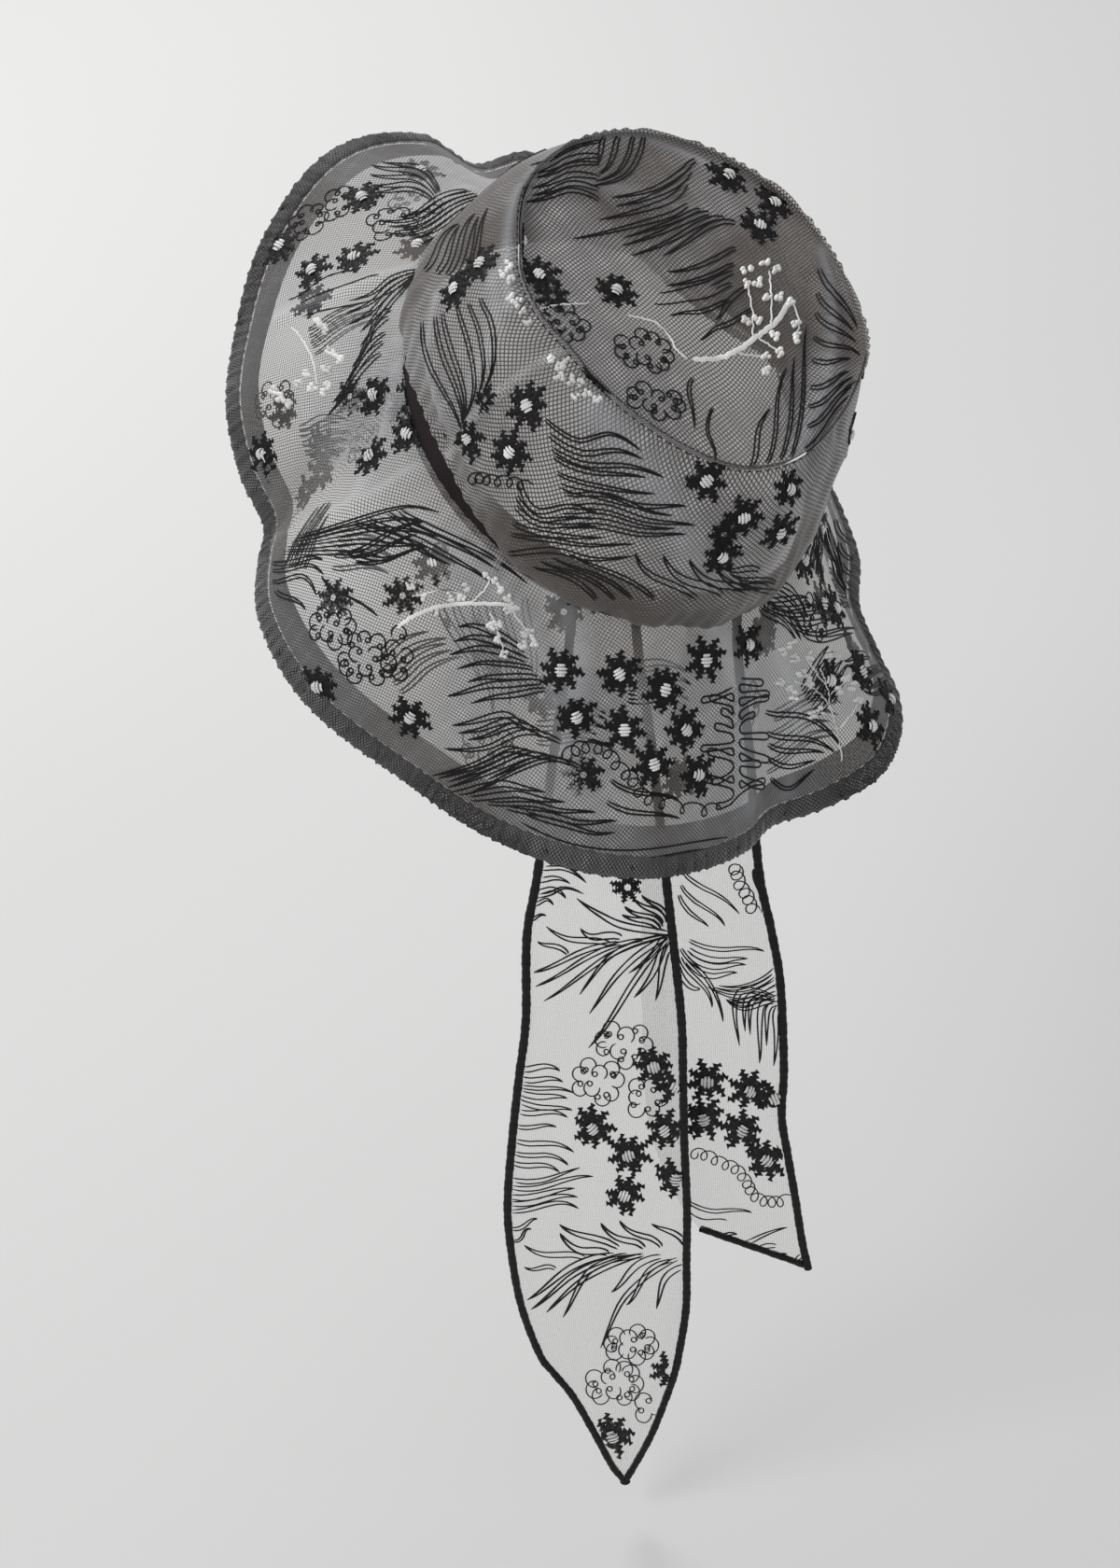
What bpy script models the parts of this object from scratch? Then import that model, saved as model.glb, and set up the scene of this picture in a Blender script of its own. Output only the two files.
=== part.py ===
"""Veil hat: a sheer net hat with a folded brim and two long ties, as it is worn.

Metres, +Z up. The origin is the centre of the head opening, level with the seam
between crown and brim. The wearer faces +Y. The hat's own pieces are built about
an upright crown axis and then lean together under one empty, as the hat leans on
the head. The ties start inside the head band at the back and hang straight down.
"""
import math
from typing import NamedTuple

import bpy
from mathutils import Matrix, Vector

# How the hat sits on the head, in degrees
LEAN_TO_RIGHT = 22.0
LEAN_TO_BACK = 12.0

# Cloth
NET_WALL = 0.001
CLEARANCE = 0.0003

# Head opening and the ribbon band inside it
OPENING_HALF_WIDTH = 0.0925
OPENING_HALF_LENGTH = 0.0955
BAND_WALL = 0.0012
BAND_HEIGHT = 0.022
BAND_BELOW_SEAM = 0.003

# Crown
CROWN_HEIGHT = 0.080
CROWN_SWELL = 0.0075
CROWN_GATHER = 0.0011
GATHER_COUNT = 21
TIP_RADIUS = 0.0755
TIP_DOME = 0.005
SEAM_ALLOWANCE = 0.0035
CRESCENT_LIFT = 0.014
CRESCENT_MIDDLE = 205.0
CRESCENT_REACH = 46.0
SIDE_SEAM = 214.0         # azimuth of the visible seam of the crown's side, in degrees

# Brim, measured along the cloth from the crown seam to the outer edge
BRIM_WIDTH = 0.1025
HEM_WIDTH = 0.0095
HEM_THICKNESS = 0.003
FACING_WIDTH = 0.0115

# Ties
LEFT_TIE_LENGTH = 0.616
LEFT_TIE_WIDTH = 0.088
LEFT_TIE_AZIMUTH = 266.0
RIGHT_TIE_LENGTH = 0.425
RIGHT_TIE_WIDTH = 0.072
RIGHT_TIE_AZIMUTH = 296.0
TIE_SEWN_LENGTH = 0.012
TIE_SETTLE_LENGTH = 0.085
TIE_BILLOW = 0.004
TIE_EDGING_RADIUS = 0.0015

# Mesh fineness
AROUND = 84
TIP_RINGS = (0.32, 0.62, 0.86, 1.0)
TIE_LEVELS = 26
TIE_ACROSS = 7
EDGING_SIDES = 5
HEM_SIDES = 6
SMOOTH_ANGLE = math.radians(50)
DIFFERENCE_STEP = 1e-3    # for slopes read off the brim: metres along it, degrees round it
MITRE_LIMIT = 0.2         # a corner's cosine below which its mitre grows no longer


class CrownSection(NamedTuple):
    """One ring of the crown side, from its foot up to the top of the seam."""

    rise: float      # share of the way from the foot to the tip seam
    taper: float     # share of the way from the head opening's size to the tip's
    swell: float     # share of CROWN_SWELL that the ring stands out
    gather: float    # share of CROWN_GATHER that the ring ripples
    yields: float    # share of its swell that the ring loses over the lifted edge


CROWN_SECTIONS = (
    CrownSection(0.00, 0.00, 0.00, 0.0, 0.0),
    CrownSection(0.05, 0.00, 0.62, 1.0, 1.0),
    CrownSection(0.25, 0.00, 1.00, 0.7, 0.8),
    CrownSection(0.48, 0.22, 1.00, 0.3, 0.3),
    CrownSection(0.74, 0.53, 0.90, 0.0, 0.0),
    CrownSection(0.92, 0.84, 0.50, 0.0, 0.0),
    CrownSection(1.00, 1.00, 0.00, 0.0, 0.0),
)


class CrownSpoke(NamedTuple):
    """The soft crown's plan at one azimuth: it has sunk in on the wearer's right."""

    azimuth: float   # degrees
    opening: float   # share of the head opening's half sizes
    tip: float       # share of TIP_RADIUS that the hand-sewn tip seam reaches
    swell: float     # share of each section's swell


CROWN_PLAN = (
    CrownSpoke(0, 0.925, 0.93, 0.10), CrownSpoke(20, 0.960, 0.91, 0.30),
    CrownSpoke(40, 0.990, 0.94, 0.70), CrownSpoke(60, 1.000, 1.00, 1.00),
    CrownSpoke(80, 1.000, 1.03, 1.00), CrownSpoke(105, 1.000, 1.08, 1.00),
    CrownSpoke(130, 1.000, 1.08, 1.00), CrownSpoke(155, 1.000, 1.06, 1.00),
    CrownSpoke(175, 1.000, 1.01, 1.00), CrownSpoke(191, 1.000, 1.01, 1.00),
    CrownSpoke(206, 1.000, 0.98, 1.00), CrownSpoke(217, 1.000, 0.94, 1.00),
    CrownSpoke(233, 1.000, 0.95, 1.00), CrownSpoke(250, 1.000, 0.98, 1.00),
    CrownSpoke(265, 1.000, 1.03, 1.00), CrownSpoke(279, 1.000, 1.07, 1.00),
    CrownSpoke(292, 1.000, 1.05, 0.95), CrownSpoke(305, 0.988, 1.00, 0.65),
    CrownSpoke(320, 0.953, 0.94, 0.25), CrownSpoke(340, 0.917, 0.91, 0.00),
)


class BrimFold(NamedTuple):
    """How the brim falls at one azimuth; crests fall little and valleys steeply."""

    azimuth: float   # degrees
    droop: float     # mean fall below the plane of the head opening, degrees
    curl: float      # how much steeper the outer edge falls than the seam, degrees


BRIM_FOLDS = (
    BrimFold(0, 53, -34), BrimFold(10, 52, -32), BrimFold(20, 53, -26), BrimFold(32, 53, -14),
    BrimFold(47, 47, 0), BrimFold(60, 49, 10), BrimFold(75, 45, 14), BrimFold(88, 33, 10),
    BrimFold(97, 29, 6), BrimFold(105, 34, 10), BrimFold(114, 26, 4), BrimFold(128, 26, 4),
    BrimFold(142, 39, 12),
    BrimFold(155, 52, 24), BrimFold(168, 60, 28), BrimFold(180, 69, 16), BrimFold(188, 75, 6),
    BrimFold(196, 72, 14), BrimFold(210, 63, 30), BrimFold(226, 58, 26), BrimFold(246, 60, 28),
    BrimFold(262, 50, 22), BrimFold(277, 39, 12), BrimFold(292, 43, 14), BrimFold(301, 46, 18),
    BrimFold(309, 50, 18), BrimFold(316, 43, 10), BrimFold(324, 35, -2), BrimFold(332, 35, -14),
    BrimFold(340, 39, -22), BrimFold(348, 46, -30),
)

# Rows of the brim's mesh, as shares of the way from the crown seam to the facing
BRIM_ROWS = (0.0, 0.15, 0.36, 0.58, 0.80, 1.0)


class TieRow(NamedTuple):
    """One level of a hanging tie, as seen from behind the wearer."""

    drop: float      # share of the tie's length below the foot of the head band
    left: float      # left edge, share of the tie's width from its hanging line
    right: float     # right edge, share of the tie's width from its hanging line
    slant: float     # how much lower the right edge hangs, share of the tie's width
    billow: float    # share of TIE_BILLOW that the middle stands out backwards


LEFT_TIE_ROWS = (
    TieRow(0.000, -0.18, 0.17, 0.0, 0.0), TieRow(0.070, -0.21, 0.21, 0.0, 0.0),
    TieRow(0.236, -0.32, 0.32, 0.0, 0.6), TieRow(0.307, -0.38, 0.37, 0.0, 0.9),
    TieRow(0.397, -0.39, 0.43, 0.0, 0.4), TieRow(0.463, -0.43, 0.45, 0.0, -0.4),
    TieRow(0.536, -0.47, 0.47, 0.0, -0.7), TieRow(0.616, -0.50, 0.50, 0.0, -0.2),
    TieRow(0.681, -0.48, 0.51, 0.0, 0.5), TieRow(0.747, -0.43, 0.52, 0.0, 0.9),
    TieRow(0.812, -0.33, 0.49, 0.0, 0.8), TieRow(0.838, -0.25, 0.47, 0.0, 0.7),
    TieRow(0.871, -0.14, 0.43, 0.0, 0.5), TieRow(0.926, -0.01, 0.35, 0.0, 0.3),
    TieRow(0.975, 0.10, 0.25, 0.0, 0.1), TieRow(1.000, 0.19, 0.19, 0.0, 0.0),
)

RIGHT_TIE_ROWS = (
    TieRow(0.000, -0.21, 0.21, 0.00, 0.0), TieRow(0.090, -0.26, 0.23, 0.00, 0.0),
    TieRow(0.327, -0.38, 0.35, 0.00, -0.5), TieRow(0.433, -0.39, 0.46, 0.00, -0.8),
    TieRow(0.518, -0.38, 0.54, 0.00, -0.3), TieRow(0.654, -0.35, 0.60, 0.00, 0.4),
    TieRow(0.734, -0.32, 0.61, 0.02, 0.7), TieRow(0.798, -0.26, 0.67, 0.08, 0.4),
    TieRow(0.863, -0.18, 0.74, 0.20, 0.0), TieRow(0.930, -0.06, 0.81, 0.35, -0.3),
    TieRow(0.975, 0.05, 0.87, 0.46, 0.0),
)


class Tie(NamedTuple):
    """One tie: its cut, and where on the band it is sewn and hangs from."""

    length: float
    width: float
    azimuth: float   # middle of its sewn end on the band, degrees
    rows: tuple
    pointed: bool    # ends in a point, or else in a slanted foot


class Look(NamedTuple):
    """Plain finish of one sub-part."""

    colour: tuple
    roughness: float
    metallic: float


NET_LOOK = Look((0.145, 0.145, 0.150), 0.75, 0.0)
TIE_NET_LOOK = Look((0.62, 0.62, 0.61), 0.75, 0.0)
RIBBON_LOOK = Look((0.016, 0.012, 0.012), 0.55, 0.0)
HEM_LOOK = Look((0.055, 0.055, 0.060), 0.65, 0.0)
FACING_LOOK = Look((0.080, 0.080, 0.088), 0.65, 0.0)
THREAD_LOOK = Look((0.006, 0.006, 0.007), 0.60, 0.0)


def worn_lean() -> Matrix:
    """Return the rotation from the upright hat to the hat as it is worn."""
    return (Matrix.Rotation(math.radians(LEAN_TO_BACK), 4, "X")
            @ Matrix.Rotation(math.radians(LEAN_TO_RIGHT), 4, "Y"))


def cubic(before: float, start: float, end: float, after: float, share: float) -> float:
    """Return the smooth value between start and end, Catmull-Rom."""
    return 0.5 * (2 * start + (end - before) * share
                  + (2 * before - 5 * start + 4 * end - after) * share ** 2
                  + (3 * start - before - 3 * end + after) * share ** 3)


def smooth(share: float) -> float:
    """Return a share that leaves 0 and reaches 1 without a corner."""
    share = min(max(share, 0.0), 1.0)
    return share * share * (3 - 2 * share)


def around(rows: tuple, column: str, azimuth: float) -> float:
    """Read a column of a table that runs once round the hat at any azimuth."""
    azimuth %= 360.0
    count = len(rows)
    last = max(i for i in range(count) if rows[i].azimuth <= azimuth)
    span = (rows[(last + 1) % count].azimuth - rows[last].azimuth) % 360.0
    share = (azimuth - rows[last].azimuth) / span
    values = [getattr(rows[(last + k) % count], column) for k in (-1, 0, 1, 2)]
    return cubic(*values, share)


def down(rows: tuple, column: str, position: float) -> float:
    """Read a column of a table that runs from end to end, at a position in rows."""
    top = len(rows) - 1
    first = min(int(position), top - 1)
    values = [getattr(rows[min(max(first + k, 0), top)], column) for k in (-1, 0, 1, 2)]
    return cubic(*values, position - first)


def opening_ring(azimuth: float, out: float, height: float) -> Vector:
    """Return the point that stands out from the head opening by a distance."""
    angle = math.radians(azimuth)
    reach = around(CROWN_PLAN, "opening", azimuth)
    return Vector(((OPENING_HALF_WIDTH * reach + out) * math.cos(angle),
                   (OPENING_HALF_LENGTH * reach + out) * math.sin(angle), height))


def seam_out() -> float:
    """Return how far the net's middle stands out from the opening at the brim seam."""
    return BAND_WALL + CLEARANCE + NET_WALL / 2


def crescent(azimuth: float) -> float:
    """Return the share by which the crown's edge is lifted, showing the band."""
    away = abs((azimuth - CRESCENT_MIDDLE + 180.0) % 360.0 - 180.0)
    return smooth(1.0 - away / CRESCENT_REACH)


def tip_radius(azimuth: float) -> float:
    """Return the radius of the tip seam at an azimuth."""
    return TIP_RADIUS * around(CROWN_PLAN, "tip", azimuth)


def crown_point(azimuth: float, section: CrownSection) -> Vector:
    """Return a point on the middle of the crown side's net."""
    angle = math.radians(azimuth)
    lifted = crescent(azimuth)
    foot = NET_WALL / 2 + CLEARANCE + CRESCENT_LIFT * lifted
    loose = around(CROWN_PLAN, "swell", azimuth) * (1.0 - section.yields * lifted)
    swell = section.swell * CROWN_SWELL * loose
    ripple = section.gather * CROWN_GATHER * loose * math.cos(GATHER_COUNT * angle)
    wide = opening_ring(azimuth, seam_out() + swell + ripple, 0.0)
    radius = tip_radius(azimuth) + swell
    narrow = Vector((radius * math.cos(angle), radius * math.sin(angle), 0.0))
    point = wide.lerp(narrow, section.taper)
    point.z = foot + section.rise * (CROWN_HEIGHT - foot)
    return point


def tip_point(azimuth: float, share: float, standing: float) -> Vector:
    """Return a point on the middle of the crown tip's net."""
    angle = math.radians(azimuth)
    radius = (tip_radius(azimuth) - NET_WALL - CLEARANCE) * share
    height = CROWN_HEIGHT + TIP_DOME * (1 - share ** 2) + standing
    return Vector((radius * math.cos(angle), radius * math.sin(angle), height))


def brim_point(azimuth: float, along: float) -> Vector:
    """Return a point on the middle of the brim's net, a distance along the cloth."""
    curl = math.radians(around(BRIM_FOLDS, "curl", azimuth))
    start = math.radians(around(BRIM_FOLDS, "droop", azimuth)) - curl / 2
    turn = curl * along / BRIM_WIDTH
    bend = BRIM_WIDTH / curl
    out = bend * (math.sin(start + turn) - math.sin(start))
    fall = bend * (math.cos(start) - math.cos(start + turn))
    return opening_ring(azimuth, seam_out() + out, -fall)


def brim_axes(azimuth: float, along: float) -> tuple[Vector, Vector]:
    """Return the brim's outward direction and its upward normal at a point."""
    step = DIFFERENCE_STEP
    outward = brim_point(azimuth, along + step) - brim_point(azimuth, along - step)
    sideways = brim_point(azimuth + step, along) - brim_point(azimuth - step, along)
    return outward.normalized(), outward.cross(sideways).normalized()


def net_edge() -> float:
    """Return how far along the cloth the brim's net reaches before the hem."""
    return BRIM_WIDTH - HEM_WIDTH - CLEARANCE


def make_material(name: str, look: Look) -> bpy.types.Material:
    """Make a plain Principled material."""
    material = bpy.data.materials.new(name)
    material.use_nodes = True
    shader = material.node_tree.nodes["Principled BSDF"]
    shader.inputs["Base Color"].default_value = (*look.colour, 1.0)
    shader.inputs["Roughness"].default_value = look.roughness
    shader.inputs["Metallic"].default_value = look.metallic
    return material


def make_object(name: str, points: list, faces: list, look: Look,
                parent: bpy.types.Object) -> bpy.types.Object:
    """Make one named, smooth-shaded sub-part from its points and faces."""
    mesh = bpy.data.meshes.new(name)
    mesh.from_pydata(points, [], faces)
    mesh.shade_smooth()
    mesh.set_sharp_from_angle(angle=SMOOTH_ANGLE)
    mesh.materials.append(make_material(name, look))
    part = bpy.data.objects.new(name, mesh)
    part.parent = parent
    bpy.context.scene.collection.objects.link(part)
    return part


def grid_faces(rows: int, columns: int, closed: bool) -> list:
    """Return the triangles between rows of points that run left to right, upwards."""
    faces = []
    for row in range(rows - 1):
        for column in range(columns if closed else columns - 1):
            after = (column + 1) % columns
            low, low_next = row * columns + column, row * columns + after
            high, high_next = low + columns, low_next + columns
            faces += [(low, low_next, high_next), (low, high_next, high)]
    return faces


def thicken(part: bpy.types.Object, wall: float) -> None:
    """Give a sheet its wall, half on each side."""
    solid = part.modifiers.new("wall", "SOLIDIFY")
    solid.thickness = wall
    solid.offset = 0.0
    solid.use_even_offset = True


def azimuths() -> list:
    """Return the azimuths at which every ring of the hat has a point."""
    return [360.0 * step / AROUND for step in range(AROUND)]


def make_head_band(hat: bpy.types.Object) -> None:
    """Make the ribbon band that lines the head opening."""
    heights = [BAND_HEIGHT * share - BAND_BELOW_SEAM for share in (0.0, 0.5, 1.0)]
    points = [opening_ring(azimuth, BAND_WALL / 2, height)
              for height in heights for azimuth in azimuths()]
    faces = grid_faces(len(heights), AROUND, closed=True)
    thicken(make_object("head_band", points, faces, RIBBON_LOOK, hat), BAND_WALL)


def half_ring(seam: float) -> list:
    """Return the azimuths of half a ring, from one seam to the one opposite."""
    first = round(seam / 360.0 * AROUND)
    between = [360.0 * (first + step) / AROUND for step in range(AROUND // 2 + 1)]
    half_gap = math.degrees(CLEARANCE / 2 / TIP_RADIUS)
    return [between[0] + half_gap] + between[1:-1] + [between[-1] - half_gap]


def make_crown_side(name: str, seam: float, hat: bpy.types.Object) -> None:
    """Make half of the crown's wall, with its seam allowance standing up round the tip."""
    ring = half_ring(seam)
    rows = [[crown_point(azimuth, section) for azimuth in ring]
            for section in CROWN_SECTIONS]
    rows.append([point + Vector((0, 0, SEAM_ALLOWANCE)) for point in rows[-1]])
    points = [point for row in rows for point in row]
    faces = grid_faces(len(rows), len(ring), closed=False)
    thicken(make_object(name, points, faces, NET_LOOK, hat), NET_WALL)


def make_crown_tip(hat: bpy.types.Object) -> None:
    """Make the crown's top, slightly domed, with its own standing allowance."""
    rows = [[tip_point(azimuth, share, 0.0) for azimuth in azimuths()]
            for share in TIP_RINGS]
    rows.append([tip_point(azimuth, 1.0, SEAM_ALLOWANCE) for azimuth in azimuths()])
    points = [point for row in reversed(rows) for point in row]
    points.append(tip_point(0.0, 0.0, 0.0))
    faces = grid_faces(len(rows), AROUND, closed=True)
    first, middle = (len(rows) - 1) * AROUND, len(points) - 1
    faces += [(first + step, first + (step + 1) % AROUND, middle) for step in range(AROUND)]
    thicken(make_object("crown_tip", points, faces, NET_LOOK, hat), NET_WALL)


def brim_sheet(starts: list, lift: float) -> list:
    """Return rows of points that lie a distance above the middle of the brim."""
    points = []
    for along in starts:
        for azimuth in azimuths():
            _, up = brim_axes(azimuth, along)
            points.append(brim_point(azimuth, along) + up * lift)
    return points


def make_brim(hat: bpy.types.Object) -> None:
    """Make the brim's net, which falls in folds from the crown seam."""
    facing_start = net_edge() - FACING_WIDTH
    starts = [facing_start * share for share in BRIM_ROWS] + [net_edge()]
    faces = grid_faces(len(starts), AROUND, closed=True)
    flipped = [face[::-1] for face in faces]
    thicken(make_object("brim", brim_sheet(starts, 0.0), flipped, NET_LOOK, hat), NET_WALL)


def make_brim_facing(hat: bpy.types.Object) -> None:
    """Make the flat strip under the brim, just inside its hem."""
    starts = [net_edge() - FACING_WIDTH, net_edge()]
    faces = [face[::-1] for face in grid_faces(len(starts), AROUND, closed=True)]
    points = brim_sheet(starts, -(NET_WALL + CLEARANCE))
    thicken(make_object("brim_facing", points, faces, FACING_LOOK, hat), NET_WALL)


def make_brim_hem(hat: bpy.types.Object) -> None:
    """Make the gathered casing that runs round the brim's outer edge."""
    points = []
    for azimuth in azimuths():
        middle = BRIM_WIDTH - HEM_WIDTH / 2
        outward, up = brim_axes(azimuth, middle)
        centre = brim_point(azimuth, middle)
        for side in range(HEM_SIDES):
            angle = 2 * math.pi * side / HEM_SIDES
            points.append(centre + outward * (HEM_WIDTH / 2 * math.cos(angle))
                          + up * (HEM_THICKNESS / 2 * math.sin(angle)))
    faces = grid_faces(AROUND + 1, HEM_SIDES, closed=True)
    faces = [tuple(corner % len(points) for corner in face[::-1]) for face in faces]
    make_object("brim_hem", points, faces, HEM_LOOK, hat)


def tie_outline(tie: Tie) -> tuple[list, list]:
    """Return a tie's left and right edges, flat, as points across and down."""
    lefts, rights = [], []
    for level in range(TIE_LEVELS + 1):
        position = (len(tie.rows) - 1) * level / TIE_LEVELS
        fall = down(tie.rows, "drop", position) * tie.length
        slant = down(tie.rows, "slant", position) * tie.width / 2
        lefts.append(Vector((down(tie.rows, "left", position) * tie.width, fall - slant)))
        rights.append(Vector((down(tie.rows, "right", position) * tie.width, fall + slant)))
    return lefts, rights


def inset(line: list, distance: float) -> list:
    """Move an open outline inwards, with mitred corners; its inside is on its left."""
    moved = []
    for index, point in enumerate(line):
        arriving = (point - line[index - 1]) if index else (line[1] - point)
        leaving = (line[index + 1] - point) if index + 1 < len(line) else arriving
        arriving, leaving = arriving.normalized(), leaving.normalized()
        tangent = (arriving + leaving).normalized()
        inward = Vector((tangent.y, -tangent.x))
        moved.append(point + inward * (distance / max(tangent.dot(leaving), MITRE_LIMIT)))
    return moved


def tie_loop(tie: Tie, distance: float) -> list:
    """Return the outline down the left edge and up the right, moved inwards."""
    lefts, rights = tie_outline(tie)
    shared = 1 if tie.pointed else 0
    return inset(lefts + rights[::-1][shared:], distance)


def hang(tie: Tie, across: float, fall: float, billow: float) -> Vector:
    """Return where a flat point of a tie is when the tie hangs from the band."""
    lean = worn_lean()
    out = -(CLEARANCE + NET_WALL / 2)
    middle = lean @ opening_ring(tie.azimuth, out, -BAND_BELOW_SEAM)
    azimuth = tie.azimuth + math.degrees(across / OPENING_HALF_LENGTH)
    inside = max(-fall, 0.0)
    below = Vector((0.0, 0.0, -max(fall, 0.0)))
    straight = lean @ opening_ring(azimuth, out, inside - BAND_BELOW_SEAM) + below
    free = middle + Vector((across, -billow, 0.0)) + below
    return straight.lerp(free, smooth(fall / TIE_SETTLE_LENGTH))


def tie_billow(tie: Tie, level: float, share: float) -> float:
    """Return how far a tie stands out backwards at a level and share of its width."""
    position = (len(tie.rows) - 1) * min(max(level, 0.0), TIE_LEVELS) / TIE_LEVELS
    return TIE_BILLOW * down(tie.rows, "billow", position) * math.sin(math.pi * share)


def make_tie(name: str, tie: Tie) -> None:
    """Make the net of one tie, from its sewn end inside the band to its foot."""
    loop = tie_loop(tie, 2 * TIE_EDGING_RADIUS + CLEARANCE)
    lefts, rights = loop[:TIE_LEVELS + 1], loop[::-1][:TIE_LEVELS + 1]
    if tie.pointed:
        lefts, rights = lefts[:-1], rights[:-1]
    sewn = Vector((0.0, -TIE_SEWN_LENGTH))
    lefts, rights = [lefts[0] + sewn] + lefts, [rights[0] + sewn] + rights
    points = []
    for row, (left, right) in enumerate(zip(lefts, rights)):
        for column in range(TIE_ACROSS + 1):
            share = column / TIE_ACROSS
            flat = left.lerp(right, share)
            points.append(hang(tie, flat.x, flat.y, tie_billow(tie, row - 1, share)))
    faces = grid_faces(len(lefts), TIE_ACROSS + 1, closed=False)
    thicken(make_object(name, points, faces, TIE_NET_LOOK, None), NET_WALL)


def make_tie_edging(name: str, tie: Tie) -> None:
    """Make the thread-covered edge of one tie, one cord round its free sides."""
    loop = tie_loop(tie, TIE_EDGING_RADIUS)
    clear_of_band = 2 * TIE_EDGING_RADIUS
    loop[0] += (loop[1] - loop[0]).normalized() * clear_of_band
    loop[-1] += (loop[-2] - loop[-1]).normalized() * clear_of_band
    if not tie.pointed:
        loop = loop[TIE_LEVELS:]
    route = [hang(tie, flat.x, flat.y, 0.0) for flat in loop]
    points = []
    for index, place in enumerate(route):
        arriving = (place - route[index - 1]) if index else (route[1] - place)
        leaving = (route[index + 1] - place) if index + 1 < len(route) else arriving
        leaving.normalize()
        tangent = (arriving.normalized() + leaving).normalized()
        thick = Vector((0, -1, 0))
        wide = tangent.cross(thick).normalized() / max(tangent.dot(leaving), MITRE_LIMIT)
        for side in range(EDGING_SIDES):
            angle = 2 * math.pi * side / EDGING_SIDES
            points.append(place + (wide * math.cos(angle) + thick * math.sin(angle))
                          * TIE_EDGING_RADIUS)
    faces = [face[::-1] for face in grid_faces(len(route), EDGING_SIDES, closed=True)]
    faces.append(tuple(range(EDGING_SIDES)))
    faces.append(tuple(reversed(range(len(points) - EDGING_SIDES, len(points)))))
    make_object(name, points, faces, THREAD_LOOK, None)


def clear_scene() -> None:
    """Remove whatever the open scene holds."""
    for leftover in list(bpy.data.objects):
        bpy.data.objects.remove(leftover)


def make_hat() -> None:
    """Make the pieces that lean with the head, under one empty."""
    hat = bpy.data.objects.new("hat_lean", None)
    hat.matrix_world = worn_lean()
    bpy.context.scene.collection.objects.link(hat)
    make_head_band(hat)
    make_crown_side("crown_side_back", SIDE_SEAM, hat)
    make_crown_side("crown_side_front", SIDE_SEAM - 180.0, hat)
    make_crown_tip(hat)
    make_brim(hat)
    make_brim_facing(hat)
    make_brim_hem(hat)


def make_ties() -> None:
    """Make the long left tie and the shorter right one, each with its edging."""
    left = Tie(LEFT_TIE_LENGTH, LEFT_TIE_WIDTH, LEFT_TIE_AZIMUTH, LEFT_TIE_ROWS, pointed=True)
    right = Tie(RIGHT_TIE_LENGTH, RIGHT_TIE_WIDTH, RIGHT_TIE_AZIMUTH, RIGHT_TIE_ROWS,
                pointed=False)
    for name, tie in (("left_tie", left), ("right_tie", right)):
        make_tie(name, tie)
        make_tie_edging(name + "_edging", tie)


clear_scene()
make_hat()
make_ties()
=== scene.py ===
"""Looks of the veil hat: embroidered net, ribbon, gathered hem and edged ties.

Metres, +Z up, the wearer facing +Y. Every net is rebuilt on a fine grid from the same
sizes as its solid, creased, and then embroidered. Motifs are laid out in photograph
pixels: traced ones through the camera, the others flat on the cloth.
"""

import logging
import math
import random
from dataclasses import dataclass, field
from enum import Enum, auto
from typing import Iterable, Optional, Sequence

import bpy
import numpy as np
from bpy.types import Material, Node, NodeSocket, NodeTree, Object
from mathutils import Matrix, Vector
from mathutils.bvhtree import BVHTree


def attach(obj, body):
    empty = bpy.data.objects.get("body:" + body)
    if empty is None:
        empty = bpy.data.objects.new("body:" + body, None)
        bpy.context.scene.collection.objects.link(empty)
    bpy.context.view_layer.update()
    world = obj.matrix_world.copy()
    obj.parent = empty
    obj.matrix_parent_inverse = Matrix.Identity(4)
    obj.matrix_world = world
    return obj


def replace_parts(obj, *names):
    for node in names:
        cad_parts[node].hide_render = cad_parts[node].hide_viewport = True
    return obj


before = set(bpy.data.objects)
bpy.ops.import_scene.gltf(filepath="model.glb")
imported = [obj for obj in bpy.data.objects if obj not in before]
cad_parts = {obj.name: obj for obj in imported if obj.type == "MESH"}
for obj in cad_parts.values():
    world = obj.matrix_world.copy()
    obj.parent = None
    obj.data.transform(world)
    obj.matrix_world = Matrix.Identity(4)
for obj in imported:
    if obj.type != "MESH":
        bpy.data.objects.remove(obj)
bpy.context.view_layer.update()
LOG = logging.getLogger("veil_hat")

Grid = np.ndarray
Pixel = tuple[float, float]
Place = tuple[int, int]
Triple = tuple[float, float, float]
Laid = tuple[Vector, Vector]

# Sizes that the solids are built from
LEAN_TO_RIGHT, LEAN_TO_BACK = 22.0, 12.0
NET_WALL, CLEARANCE = 0.001, 0.0003
OPENING_HALF_WIDTH, OPENING_HALF_LENGTH = 0.0925, 0.0955
BAND_WALL, BAND_HEIGHT, BAND_BELOW_SEAM = 0.0012, 0.022, 0.003
CROWN_HEIGHT, CROWN_SWELL, CROWN_GATHER, GATHER_COUNT = 0.080, 0.0075, 0.0011, 21
TIP_RADIUS, TIP_DOME, SEAM_ALLOWANCE = 0.0755, 0.005, 0.0035
CRESCENT_LIFT, CRESCENT_MIDDLE, CRESCENT_REACH = 0.014, 205.0, 46.0
BRIM_WIDTH, HEM_WIDTH, HEM_THICKNESS, FACING_WIDTH = 0.1025, 0.0095, 0.003, 0.0115
TIE_SEWN_LENGTH, TIE_SETTLE_LENGTH, TIE_BILLOW, TIE_EDGING_RADIUS = 0.012, 0.085, 0.004, 0.0015

# Metres from the axis, on the whole, for the flat coordinates that weaves and ribs follow
SIDE_RADIUS, BAND_RADIUS, FACING_RADIUS, HEM_RADIUS, HEM_GIRTH = 0.088, 0.094, 0.19, 0.198, 0.022

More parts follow.
